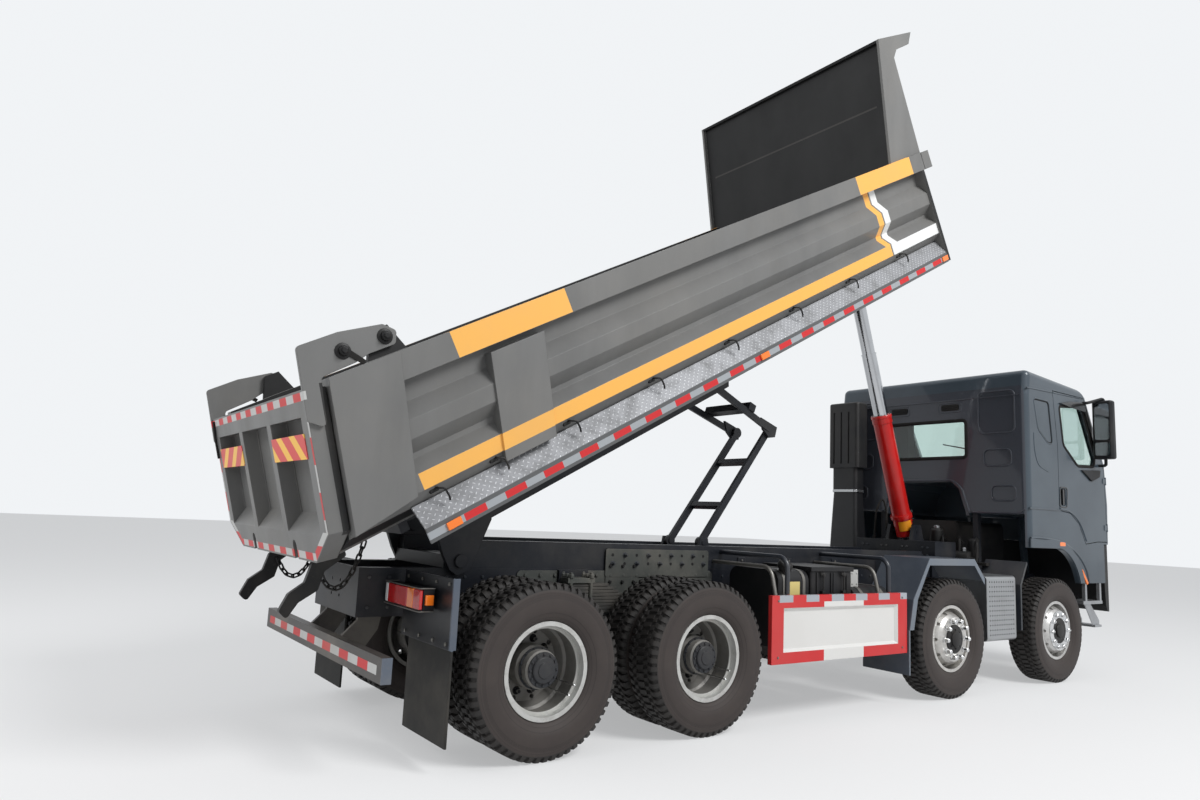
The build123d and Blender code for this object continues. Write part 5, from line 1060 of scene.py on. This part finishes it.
# Skirt: rope hooks, side markers and the round reflectors on the rear gussets
rope_hooks, hook_feet = Shape(), Shape()
for a in (-0.277, 0.15, 0.733, 1.517, 2.333, 3.146, 3.956, 4.785):
    hook = [(a + 0.012, 1.196, 0.672), (a + 0.012, 1.243, 0.668), (a + 0.045, 1.25, 0.655),
            (a + 0.052, 1.25, 0.6), (a + 0.052, 1.24, 0.575)]
    rope_hooks.tube(rounded(hook, 0.02, 4), 0.0065, 8)
    hook_feet.box((a - 0.03, 1.188, 0.648), (a + 0.028, 1.206, 0.688))
rope_hooks.both_sides().on_bed().make("rope_hooks", "dark_oxide", "bed", "cast_iron")
hook_feet.both_sides().on_bed().make("rope_hook_feet", "inner_black", "bed", "black_plastic", bevel=0.004)
markers = Shape()
for a in (-0.2575, 2.63, 5.44):
    markers.box((a - 0.05, 1.239, 0.416), (a + 0.05, 1.254, 0.464))
markers.both_sides().on_bed().make("skirt_markers", "amber_lens", "bed", "black_plastic", bevel=0.005)
reflectors = Shape().turned([(0.037, 0.0), (0.037, -0.006), (0.032, -0.009), (0.0005, -0.0095)],
                            (-0.3, 1.185, 0.465), "x", 24)
reflectors.both_sides().on_bed().make("gusset_reflectors", "red_lens", "bed", "black_plastic")


def on_chassis(shape, name, finish, slot, bevel=0.0):
    """Make a piece of the chassis and its mirror image as one."""
    shape.both_sides().on_truck().make(name, finish, "chassis", slot, bevel=bevel)


# Rear lamps: white, red, amber and red lenses, and a marker at the end
LENS_FOOT, LENS_TOP, LENS_GAP = 0.897, 1.013, 0.0015
for lens_name, finish, low_y, high_y in (
        ("reversing", "clear_lens", 0.464, 0.507), ("stop", "red_lens", 0.507, 0.81),
        ("turn", "amber_lens", 0.81, 0.904), ("tail", "red_lens", 0.904, 1.006)):
    lamp = Shape().box((-0.782, low_y + LENS_GAP, LENS_FOOT), (-0.76, high_y - LENS_GAP, LENS_TOP))
    on_chassis(lamp, f"{lens_name}_lenses", finish, "black_plastic", 0.006)
side_marker = Shape().box((-0.752, 1.009, 0.925), (-0.7, 1.03, 0.985))
on_chassis(side_marker, "lamp_side_markers", "amber_lens", "black_plastic", 0.005)
lamp_bars = Shape()
for z in (0.888, 1.022):
    bar = [(-0.69, 0.455, z), (-0.785, 0.455, z), (-0.785, 1.014, z), (-0.69, 1.014, z)]
    lamp_bars.tube(rounded(bar, 0.015, 3), 0.004, 8)
on_chassis(lamp_bars, "lamp_frames", "bolt_steel", "black_plastic")
flap_bolts = [(-0.6675, y, z) for z in (0.72, 1.06) for y in (0.56, 0.78, 0.98, 1.16)]
on_chassis(hex_heads(flap_bolts, 0.012, 0.009, "x", -1), "flap_bolts", "bolt_steel", "cast_iron")

# Chassis: fishplate beside the drive axles, its bolts, and the brackets under the subframe
RAIL_FACE, PLATE_FACE, SHEAR_FACE = 0.4203, 0.43, 0.44
plates, plate_bolts = Shape(), Shape()
plates.prism(rounded_outline((0.2, 0.8), (2.1, 1.085), 0.04), RAIL_FACE, PLATE_FACE)
for step in range(15):
    for z in (0.835, 0.905, 1.05) if step % 3 == 0 else (0.835, 1.05):
        plate_bolts.take(hex_heads([(0.27 + step * 0.126, PLATE_FACE, z)], 0.014, 0.012))
on_chassis(plates, "fishplates", "plate_paint", "frame_paint", 0.003)
on_chassis(plate_bolts, "fishplate_bolts", "plate_paint", "cast_iron")
# The shear plate that ties the subframe to the rail, with bolts and, by turns, open holes shown as thin
# near-black discs of painted shade
shear_plates, shear_bolts, hole_shade_discs = Shape(), Shape(), Shape()
shear_plates.prism(rounded_outline((0.975, 1.035), (2.045, 1.252), 0.02), 0.4303, SHEAR_FACE)
for step in range(9):
    for z, shift in ((1.205, 0), (1.14, 1)):
        spot = (1.04 + step * 0.118, SHEAR_FACE, z)
        if (step + shift) % 2:
            shear_bolts.pin(spot, 0.021, 0.003, 0.018, 0.004, sides=14)
            shear_bolts.take(hex_heads([spot], 0.014, 0.018))
            shear_bolts.pin(spot, 0.008, 0.032, 0.006, 0.034)
        else:
            # A thin near-black disc stands in each open hole: painted shade.
            hole_shade_discs.pin(spot, 0.0125, 0.0007, 0.0005, 0.0008, sides=16)
on_chassis(shear_plates, "shear_plates", "plate_paint", "frame_paint", 0.003)
on_chassis(shear_bolts, "shear_plate_bolts", "frame_bolt", "cast_iron")
on_chassis(hole_shade_discs, "shear_plate_hole_shade", "inner_black", "frame_paint")
rail_bolts = Shape()
for x in (-0.88 + step * 0.135 for step in range(60)):
    if not 0.15 < x < 2.15:
        rail_bolts.take(hex_heads([(x, 0.4202, z) for z in (0.85, 1.04)], 0.011, 0.01))
on_chassis(rail_bolts, "rail_bolts", "frame_bolt", "cast_iron")
brackets, bracket_bolts = Shape(), Shape()
for x in (2.45, 3.05, 3.7, 4.5, 5.0):
    brackets.box((x - 0.045, RAIL_FACE, 0.98), (x + 0.045, PLATE_FACE, 1.2))
    bracket_bolts.take(hex_heads([(x, PLATE_FACE, z) for z in (1.02, 1.06)], 0.012, 0.011))
    bracket_bolts.take(hex_heads([(x, PLATE_FACE, z) for z in (1.14, 1.175)], 0.01, 0.01))
on_chassis(brackets, "subframe_brackets", "frame_paint", "frame_paint", 0.004)
on_chassis(bracket_bolts, "bracket_bolts", "bolt_steel", "cast_iron")
u_bolts = Shape()
for x in (0.6, 0.75, 4.33, 4.47, 6.28, 6.42):
    bolt = [(x, 0.445, 0.56), (x, 0.445, 0.79), (x, 0.555, 0.79), (x, 0.555, 0.56)]
    u_bolts.tube(rounded(bolt, 0.03, 4), 0.011, 10)
on_chassis(u_bolts, "u_bolts", "cast_iron", "cast_iron")

# Tanks and battery box on the right side: straps, cap, blank label, lid, ribs and wing nuts
STRAP = 0.0043  # how far a strap's outline lies outside the tank's
tank_straps = Shape()
for places, low, high, radius, half_width in (
        ((2.27, 2.5), (-1.0802, 0.5398), (-0.5398, 1.1402), 0.09, 0.016),
        ((3.26, 3.54), (-1.0802, 0.4798), (-0.5198, 1.0002), 0.11, 0.02)):
    inner = rounded_outline(low, high, radius)
    outer = rounded_outline((low[0] - STRAP, low[1] - STRAP), (high[0] + STRAP, high[1] + STRAP),
                            radius + 0.004)
    for x in places:
        tank_straps.take(band(inner, outer, x - half_width, x + half_width))
tank_straps.on_truck().make("tank_straps", "bolt_steel", "chassis", "aluminium")
tank_label = Shape().box((2.33, -1.084, 0.86), (2.45, -1.0803, 1.05)).on_truck()
tank_label.make("blank_tank_label", "label_yellow", "chassis", "black_plastic")
# The cap stands square on the tank's sloping corner
tank_cap = Shape().turned([(0.034, -0.03), (0.034, 0.03), (0.058, 0.032), (0.06, 0.075), (0.052, 0.085),
                           (0.0005, 0.087)], ORIGIN, "z", 24)
tank_cap = tank_cap.moved(lambda p: (2.3 + p[0], -1.03 + p[1] * 0.87 - p[2] * 0.5,
                                     1.125 + p[2] * 0.87 + p[1] * 0.5))
tank_cap.on_truck().make("tank_cap", "inner_black", "chassis", "black_plastic")
box_trim = Shape().box((2.578, -1.094, 1.13), (3.122, -0.55, 1.168))
for x in (2.66, 2.84, 2.87, 3.04):
    box_trim.box((x - 0.01, -1.09, 0.58), (x + 0.01, -1.0795, 1.12))
box_trim.on_truck().make("battery_lid", "black_plastic", "chassis", "black_plastic", bevel=0.006)
wing_nuts = Shape()
for x in (2.72, 2.98):
    wing_nuts.turned([(0.007, 0.0), (0.007, 0.16)], (x, -1.1, 0.97), "z", 10)
    wing_nuts.pin((x, -1.1, 1.09), 0.016, 0.02, 0.01, 0.03, "z", 6)
    wing_nuts.box((x - 0.032, -1.104, 1.1), (x + 0.032, -1.096, 1.122))
    wing_nuts.box((x - 0.02, -1.11, 0.95), (x + 0.02, -1.079, 0.975))
wing_nuts.on_truck().make("wing_nuts", "dark_oxide", "chassis", "aluminium", bevel=0.002)
valve_plate = Shape().box((3.2, -1.0, 0.98), (3.3, -0.992, 1.14))
valve_plate.take(hex_heads([(x, -1.0, z) for x in (3.22, 3.28) for z in (1.02, 1.11)], 0.008, 0.006, "y", -1))
valve_plate.on_truck().make("valve_plate", "pale_plastic", "chassis", "aluminium", bevel=0.002)

# Rear suspension clamps: leaf stacks under plates with four long bolts each
leaf_stack, clamps = Shape(), Shape()
for leaf in range(9):
    reach = 0.62 - leaf * 0.045
    low = 0.785 + leaf * 0.024
    leaf_stack.box((0.675 - reach, 0.452, low), (0.675 + reach, 0.548, low + 0.0215))
CLAMP_TOP = 1.04
clamps.box((0.555, 0.436, 1.003), (0.795, 0.564, CLAMP_TOP))
for x in (0.585, 0.765):
    for y in (0.445, 0.555):
        clamps.turned([(0.014, 0.0), (0.014, 0.32)], (x, y, 0.76), "z", 12)
        clamps.take(hex_heads([(x, y, CLAMP_TOP)], 0.024, 0.03, "z"))
    clamps.take(hex_heads([(x, 0.5, CLAMP_TOP)], 0.02, 0.03, "z"))
clamps.box((0.57, 0.44, 0.76), (0.78, 0.56, 0.787))
on_chassis(leaf_stack, "leaf_stacks", "leaf_steel", "cast_iron", 0.003)
on_chassis(clamps, "spring_clamps", "plate_paint", "cast_iron", 0.003)
HANGER_FACE = 0.438
hanger = Shape().prism([(0.98, 0.83), (1.26, 0.83), (1.3, 0.9), (1.3, 1.17), (0.98, 1.17)],
                       PLATE_FACE, HANGER_FACE)
hanger_bolts = [(x, HANGER_FACE, z) for x in (1.02, 1.14, 1.25) for z in (0.9, 1.0, 1.12)]
on_chassis(hanger, "hanger_plates", "plate_paint", "frame_paint", 0.004)
on_chassis(hex_heads(hanger_bolts, 0.014, 0.014), "hanger_bolts", "dark_oxide", "cast_iron")

# Bent tubes inside the guard's carriers, and screws on the guard
inner_hoops = Shape()
for x in (2.12, 3.41):
    hoop = [(x, -0.425, 1.165), (x, -1.075, 1.165), (x, -1.14, 0.9), (x, -1.17, 0.75)]
    inner_hoops.tube(rounded(hoop, 0.09, 6), 0.017, 12)
inner_hoops.on_truck().make("inner_guard_tubes", "bolt_steel", "chassis", "black_plastic")
screws = hex_heads([(x, 1.2252, z) for x in (2.05, 3.61) for z in (0.5, 0.92)], 0.009, 0.005, sides=10)
on_chassis(screws, "guard_screws", "bolt_steel", "guard_paint")

# Hoist: gland, fittings and a blank label, in a frame with u across it, v sideways and w along the barrel
HOIST_LEAN = math.radians(18.44)
HOIST_FOOT = (5.44, 1.5)
BARREL_END = 1.3365


def on_hoist(shape):
    """Place a shape that is given in the hoist's frame."""
    c, s = math.cos(HOIST_LEAN), math.sin(HOIST_LEAN)
    x, z = HOIST_FOOT
    return shape.moved(lambda p: truck_point(x + p[0] * c - p[2] * s, p[1], z + p[0] * s + p[2] * c))


gland = Shape().turned([(0.1005, 1.24), (0.108, 1.245), (0.108, 1.3), (0.112, 1.305), (0.112, 1.33),
                        (0.108, 1.336), (0.08, BARREL_END)], ORIGIN, "z", 48, capped=False)
gland.take(washer(ORIGIN, 0.1, 0.1175, 0.15, 0.19, "z", 48))
on_hoist(gland).make("hoist_gland", "hoist_red", "hoist_barrel", "hoist_paint")
gland_bolts = hex_heads([(u, v, w) for u, w, v in circle(0.097, 10, BARREL_END)], 0.007, 0.006, "z")
on_hoist(gland_bolts).make("gland_bolts", "bolt_steel", "hoist_barrel", "chrome")
fittings = Shape()
for angle in (-0.35, 0.15):
    u, v = math.cos(angle), -0.1 * abs(math.sin(angle))
    fittings.turned([(0.016, 0.0), (0.016, 0.03), (0.01, 0.034), (0.01, 0.05)],
                    (0.1 * u, v - 0.02, 0.1), "x", 10)
    fittings.pin((0.09 * u, v - 0.03, 0.2), 0.014, 0.024, 0.008, 0.028, "x", 6)
on_hoist(fittings).make("oil_fittings", "polished", "hoist_barrel", "chrome")
label_turns = [math.radians(-172 + 8 * step) for step in range(12)]
label_rows = [[(0.1012 * math.cos(turn), 0.1012 * math.sin(turn), w) for turn in label_turns]
              for w in (0.02, 0.128)]
label = on_hoist(Shape().loft(label_rows, closed=False, capped=False))
label.make("blank_barrel_label", "label_amber", "hoist_barrel", "hoist_paint")
# The oil comes through the foot pin, so this pipe stays clear of the barrel as it swings
oil_way = [(5.44, 0.17, 1.5), (5.44, 0.24, 1.5), (5.5, 0.27, 1.72), (5.46, 0.3, 1.88), (5.38, 0.33, 1.72),
           (5.36, 0.34, 1.38)]
oil_pipe = Shape().tube(rounded(oil_way, 0.07, 8), 0.011, 10)
oil_pipe.turned([(0.02, 0.0), (0.022, 0.004), (0.022, 0.03), (0.014, 0.036)], (5.44, 0.172, 1.5), "y", 6)
oil_pipe.turned([(0.02, 0.0), (0.022, 0.004), (0.022, 0.024), (0.014, 0.03)], (5.36, 0.34, 1.398), "z", 6)
oil_pipe.on_truck().make("oil_pipe", "flap_rubber", "chassis", "black_plastic")
cross_bolts = [(5.25, y + shift, z) for y in (-0.38, -0.13, 0.13, 0.38) for z in (1.25, 1.33)
               for shift in (-0.03, 0.03)]
cross_bolts = hex_heads(cross_bolts, 0.013, 0.01, "x", -1)
cross_bolts.on_truck().make("cross_box_bolts", "frame_bolt", "chassis", "cast_iron")

# Behind the cab: canisters, pipes and a shelf of valves over the rails
back_parts = Shape()
back_parts.turned([(0.07, 0.0), (0.075, 0.01), (0.075, 0.22), (0.05, 0.25)], (5.76, -0.2, 1.3), "z", 20)
back_parts.turned([(0.05, 0.0), (0.055, 0.01), (0.055, 0.18), (0.03, 0.2)], (5.78, -0.62, 1.25), "z", 20)
back_parts.turned([(0.085, -0.25), (0.09, -0.24), (0.09, 0.24), (0.085, 0.25)], (5.72, -0.38, 1.22), "y", 24)
back_parts.box((5.68, -0.82, 1.17), (5.8, 0.42, 1.2))
for number, y in enumerate((-0.7, -0.5, -0.3, 0.0, 0.25)):
    pipe = [(5.7, y, 1.2), (5.72, y, 1.4 + 0.03 * number), (5.83, y + 0.08, 1.46), (5.95, y + 0.1, 1.4)]
    back_parts.tube(rounded(pipe, 0.06, 5), 0.014, 8)
back_parts.on_truck().make("rear_cab_fittings", "dark_oxide", "chassis", "cast_iron")
caps = Shape().turned([(0.03, 0.0), (0.032, 0.02), (0.02, 0.03)], (5.76, -0.2, 1.55), "z", 14)
for y in (-0.38, -0.55):
    caps.pin((5.72, y, 1.31), 0.02, 0.03, 0.012, 0.04, "z", 8)
caps.on_truck().make("rear_cab_caps", "aluminium", "chassis", "aluminium")

# Cab: window seals, handles, covers, lamps, vents, pressed lines and the deflectors over the windows
REAR_X = 5.85
CAB_Y = 1.2
WINDOW = [(6.555, 2.95), (7.08, 3.0), (7.37, 2.45), (7.33, 2.33), (6.94, 2.31), (6.625, 2.52)]
BEAD_SECTION = ((-1, -0.3), (-0.8, 0.5), (-0.3, 1.0), (0.3, 1.0), (0.8, 0.5), (1, -0.3))


def turned_corners(outline, radius):
    """A closed outline in two axes, with its corners rounded."""
    points = [(p, q, 0.0) for p, q in outline]
    start = tuple((points[0][i] + points[1][i]) / 2 for i in range(3))
    return [(p[0], p[1]) for p in rounded([start] + points[1:] + [points[0], start], radius, 5)]


def bead(outline, plane, value, width, height):
    """A low round-backed strip along a closed outline, on a wall square to an axis."""
    out = Vector((0, 1, 0)) if plane == "y" else Vector((-1, 0, 0))
    lifted = [Vector(in_axes(p, value, q, plane)) for p, q in outline]
    count = len(lifted)
    rings = []
    for index in range(count + 1):
        before, here, after = (lifted[(index + step) % count] for step in (-1, 0, 1))
        side = (after - before).normalized().cross(out)
        rings.append([tuple(here + side * (width * p) + out * (height * q)) for p, q in BEAD_SECTION])
    return Shape().loft(rings, capped=False)


def rear_line(points, corner, steps, radius):
    """A pressed line across the rear wall, through points in y and z."""
    return Shape().tube(rounded([(REAR_X, y, z) for y, z in points], corner, steps), radius, 8)


def side_line(points, radius, sides=8, corner=0.1, y=CAB_Y):
    """A pressed line along the cab's side, through points in x and z."""
    return Shape().tube(rounded([(x, y, z) for x, z in points], corner), radius, sides)


rear_outline = turned_corners([(-0.515, 2.343), (0.515, 2.343), (0.515, 2.765), (-0.515, 2.765)], 0.05)
seal = bead(rear_outline, "x", REAR_X, 0.021, 0.012)
seal.on_truck().make("rear_window_seal", "seal_rubber", "cab", "black_plastic")
VENTS = (-0.322, 0.338)
press = Shape()
for y, z, width, height in ((0.866, 2.83, 0.41, 0.46), (0.871, 2.331, 0.31, 0.18), (0.93, 1.947, 0.27, 0.16)):
    outline = rounded_outline((y - width / 2, z - height / 2), (y + width / 2, z + height / 2), 0.055)
    press.take(bead(outline, "x", REAR_X, 0.009, 0.005))
press.both_sides()
for y in VENTS:
    press.take(bead(rounded_outline((y - 0.14, 2.866), (y + 0.14, 2.972), 0.03), "x", REAR_X, 0.006, 0.004))
press.tube([(REAR_X - 0.001, -1.14, 3.0), (REAR_X - 0.001, 1.14, 3.0)], 0.006, 8)
press.take(rear_line([(-0.54, 1.74), (-0.455, 2.0), (-0.35, 2.09), (0.35, 2.09), (0.455, 2.0), (0.54, 1.74)],
                     0.06, 5, 0.012))
for sign in (1, -1):
    press.take(rear_line([(sign * 0.56, 1.735), (sign * 1.1, 1.735), (sign * 1.16, 1.78)], 0.03, 4, 0.011))
press.on_truck().make("rear_pressed_beads", "cab_paint", "cab", "cab_paint")
slots = Shape()
for y in VENTS:
    outline = rounded_outline((y - 0.106, 2.883), (y + 0.106, 2.957), 0.02)
    slots.prism(outline, REAR_X - 0.003, REAR_X + 0.006, "x")
    for z in (2.9, 2.92, 2.94):
        slots.box((REAR_X - 0.008, y - 0.1, z - 0.003), (REAR_X, y + 0.1, z + 0.003))
slots.on_truck().make("cab_air_slots", "inner_black", "cab", "black_plastic", bevel=0.0015)

quarter = turned_corners([(6.0, 2.979), (6.33, 2.975), (6.395, 2.509), (6.29, 2.505), (6.08, 2.64)], 0.05)
side_lines = bead(quarter, "y", CAB_Y, 0.008, 0.004)
side_lines.take(side_line([(5.862, 1.794), (6.498, 1.798)], 0.01, 10))
side_lines.take(side_line([(5.987, 2.6), (5.99, 2.424), (6.06, 2.25), (6.278, 2.201)], 0.005, corner=0.09))
side_lines.take(side_line([(5.86, 3.072), (6.4, 3.084)], 0.008))
arch = [(5.872, 1.484), (6.055, 1.494), (6.534, 1.463), (6.876, 1.34), (7.074, 1.168), (7.114, 1.021)]
side_lines.take(side_line(arch, 0.013, 10, 0.14, CAB_Y - 0.002))
side_lines.both_sides().on_truck().make("side_pressed_lines", "cab_paint", "cab", "cab_paint")
# A thin near-black bead along the groove round the quarter panel: painted shade in the groove.
groove = turned_corners([(6.012, 2.967), (6.32, 2.963), (6.382, 2.52), (6.294, 2.518), (6.092, 2.648)], 0.045)
groove_shade_lines = bead(groove, "y", CAB_Y - 0.004, 0.006, 0.003)
groove_shade_lines.both_sides().on_truck().make("quarter_panel_groove_shade", "seal_rubber", "cab", "black_plastic")

HANDLE_BEZEL = [(6.53, 2.045), (6.655, 2.045), (6.672, 2.02), (6.655, 1.842), (6.53, 1.842), (6.512, 1.87)]
HANDLE_MIDDLE = (6.6, 1.95)
BEZEL_WIDTH = 0.012
OUTER_BEZEL = [tuple(value + math.copysign(BEZEL_WIDTH, value - middle)
                     for value, middle in zip(point, HANDLE_MIDDLE)) for point in HANDLE_BEZEL]
# The deflector's strip over the window: x, z and reach off the door, at its root and at its edge
DEFLECTOR_ROOT = [(6.555, 2.985, 0.0), (6.807, 3.035, 0.0), (7.09, 3.06, 0.0), (7.12, 3.02, 0.0),
                  (7.085, 2.975, 0.0), (6.82, 2.97, 0.0)]
DEFLECTOR_EDGE = [(6.565, 2.98, 0.022), (6.807, 3.02, 0.035), (7.1, 3.04, 0.035), (7.135, 2.99, 0.03),
                  (7.1, 2.94, 0.035), (6.82, 2.945, 0.04)]
# Its part down the front pillar
DEFLECTOR_FRONT = [(7.09, 3.06, 0.0), (7.43, 2.47, 0.0), (7.385, 2.45, 0.0), (7.085, 2.985, 0.0),
                   (7.1, 3.045, 0.032), (7.43, 2.48, 0.02), (7.375, 2.46, 0.022), (7.09, 2.96, 0.034)]
BLOCK_FACES = [(0, 1, 5, 4), (1, 2, 6, 5), (2, 3, 7, 6), (3, 0, 4, 7), (4, 5, 6, 7), (0, 3, 2, 1)]


def off_door(points):
    """Points given as x, z and reach off the left door."""
    return [(x, CAB_Y + reach, z) for x, z, reach in points]


def door_trim():
    """Lists of (name, shape, finish, slot, bevel) for the left door."""
    seal = bead(turned_corners(WINDOW, 0.05), "y", CAB_Y, 0.018, 0.008)
    deflector = Shape().loft([off_door(DEFLECTOR_ROOT), off_door(DEFLECTOR_EDGE)])
    deflector.add(off_door(DEFLECTOR_FRONT), BLOCK_FACES)
    cover = Shape().prism([(7.007, 2.271), (7.461, 2.297), (7.434, 2.215), (7.246, 2.157)],
                          CAB_Y - 0.001, CAB_Y + 0.02)
    handle = band(turned_corners(HANDLE_BEZEL, 0.02), turned_corners(OUTER_BEZEL, 0.025),
                  CAB_Y - 0.002, CAB_Y + 0.005, "y")
    handle.box((6.535, CAB_Y - 0.023, 1.86), (6.645, CAB_Y - 0.0215, 2.03))
    handle.box((6.573, CAB_Y - 0.02, 1.86), (6.607, CAB_Y + 0.004, 2.03))
    crease = side_line([(6.51, 1.815), (6.73, 1.8), (6.95, 1.69), (7.09, 1.48)], 0.009, 10, 0.12)
    glasses = Shape()
    for low_z, high_z in ((2.628, 3.042), (2.448, 2.597)):
        glasses.prism(rounded_outline((1.272, low_z), (1.428, high_z), 0.025), 7.222, 7.2325, "x")
    return [
        ("window_seal", seal, "seal_rubber", "black_plastic", 0.0),
        ("window_deflector", deflector, "gloss_black", "black_plastic", 0.003),
        ("mirror_foot_cover", cover, "black_plastic", "black_plastic", 0.008),
        ("door_handle", handle, "gloss_black", "black_plastic", 0.002),
        ("door_crease", crease, "cab_paint", "cab_paint", 0.0),
        ("mirror_glasses", glasses, "mirror_glass", "glass", 0.0),
        ("door_top_line", side_line([(6.43, 3.085), (7.1, 3.096)], 0.007), "cab_paint", "cab_paint", 0.0),
    ]


left_trim = door_trim()
for side, sign in SIDES.items():
    for part_name, shape, finish, slot, bevel in left_trim:
        placed = shape.moved(lambda p: (p[0], p[1] * sign, p[2])).on_truck()
        placed.make(f"{side}_{part_name}", finish, f"{side}_door", slot, bevel=bevel)

side_lamps = Shape()
side_lamps.prism(rounded_outline((6.459, 1.412), (6.581, 1.456), 0.015), CAB_Y - 0.001, CAB_Y + 0.014)
side_lamps.prism([(6.925, 1.15), (6.957, 1.168), (7.083, 1.02), (7.052, 1.0)], CAB_Y - 0.003, CAB_Y + 0.012)
side_lamps.both_sides().on_truck().make("cab_side_markers", "amber_lens", "cab", "black_plastic", bevel=0.004)
front_lenses = Shape()
for low_y, high_y in ((0.83, 0.96), (0.965, 1.11)):
    front_lenses.prism(rounded_outline((low_y, 0.972), (high_y, 1.138), 0.03), 7.679, 7.69, "x")
front_lenses.both_sides().on_truck().make("headlamp_lenses", "clear_lens", "cab", "glass", bevel=0.004)
# The windscreen's top and foot, in x and z
SCREEN_TOP, SCREEN_FOOT = (7.16, 3.11), (7.62, 2.29)


def screen_point(y, share, out):
    """A point on the windscreen, by its share of the way down and its height off the glass."""
    run, drop = SCREEN_FOOT[0] - SCREEN_TOP[0], SCREEN_TOP[1] - SCREEN_FOOT[1]
    length = math.hypot(run, drop)
    return (SCREEN_TOP[0] + run * share + drop / length * out, y,
            SCREEN_TOP[1] - drop * share + run / length * out)


wipers = Shape()
for y in (-0.62, 0.12):
    wipers.tube([screen_point(y, 0.99, 0.03), screen_point(y + 0.25, 0.62, 0.045)], 0.009, 8)
    wipers.tube([screen_point(y - 0.12, 0.72, 0.018), screen_point(y + 0.62, 0.53, 0.018)], 0.008, 8)
    wipers.pin(screen_point(y, 0.99, 0.01), 0.022, 0.03, 0.015, 0.035, "x", 14)
wipers.on_truck().make("wipers", "inner_black", "cab", "black_plastic")

# Camera, floor and light. The camera's turn and focal length, in the photograph's pixels, were solved on it.
CAMERA_PLACE = (-2.8353 - CENTRE_X, -5.6547, 1.4852)
YAW, PITCH, ROLL = math.radians(54.757), math.radians(8.109), math.radians(2.699)
FOCAL_LENGTH, PHOTO_WIDTH = 825.15, 1200
SENSOR_WIDTH = 36.0
ahead = Vector((math.cos(PITCH) * math.cos(YAW), math.cos(PITCH) * math.sin(YAW), math.sin(PITCH)))
level = Vector((math.sin(YAW), -math.cos(YAW), 0))
upright = level.cross(ahead)
across = level * math.cos(ROLL) + upright * math.sin(ROLL)
over = upright * math.cos(ROLL) - level * math.sin(ROLL)
camera_data = bpy.data.cameras.new("camera")
camera_data.sensor_width = SENSOR_WIDTH
camera_data.lens = FOCAL_LENGTH * SENSOR_WIDTH / PHOTO_WIDTH
camera = bpy.data.objects.new("camera", camera_data)
bpy.context.scene.collection.objects.link(camera)
turn = Matrix((across, over, -ahead)).transposed()
camera.matrix_world = Matrix.Translation(CAMERA_PLACE) @ turn.to_4x4()
bpy.context.scene.camera = camera

world = bpy.data.worlds.new("studio")
world.use_nodes = True
bpy.context.scene.world = world
studio = Nodes(world.node_tree)
soft = studio.tree.nodes["Background"]
soft.inputs["Color"].default_value = (0.93, 0.96, 1.0, 1.0)
soft.inputs["Strength"].default_value = 0.43
backdrop = studio.node("Background", None, {"Color": (0.88, 0.9, 0.92, 1.0), "Strength": 1.0})
studio.pale_to_eyes(Value(studio, soft.outputs[0]), backdrop, 1.0, "World Output")

FLOOR_REACH = 60
corners = [(x * FLOOR_REACH, y * FLOOR_REACH, 0) for x, y in ((-1, -1), (1, -1), (1, 1), (-1, 1))]
floor_mesh = bpy.data.meshes.new("floor")
floor_mesh.from_pydata(corners, [], [(0, 1, 2, 3)])
floor = bpy.data.objects.new("floor", floor_mesh)
bpy.context.scene.collection.objects.link(floor)
floor_finish = Finish("studio_floor", base_color=(0.8, 0.8, 0.8, 1.0), roughness=0.9)
floor_glow = floor_finish.node("Emission", None, {"Color": (0.9, 0.91, 0.92, 1.0), "Strength": 1.0})
lit_floor = Value(floor_finish, floor_finish.shader.outputs[0])
floor_finish.pale_to_eyes(lit_floor, floor_glow, 0.45, "Material Output")
floor_mesh.materials.append(floor_finish.material)


def soft_light(name, place, aim, size, power):
    """A round lamp at a place, turned to what it aims at."""
    data = bpy.data.lights.new(name, "AREA")
    data.shape = "DISK"
    data.size = size
    data.energy = power
    light = bpy.data.objects.new(name, data)
    bpy.context.scene.collection.objects.link(light)
    light.location = place
    light.rotation_euler = (Vector(aim) - Vector(place)).to_track_quat("-Z", "Y").to_euler()


soft_light("key", (1.8, -12.0, 13.0), (0, 0, 2), 7.0, 2150)
soft_light("fill", (-13.0, 1.0, 8.0), (0, 0, 2), 8.0, 550)

bpy.context.scene.view_settings.view_transform = "Standard"
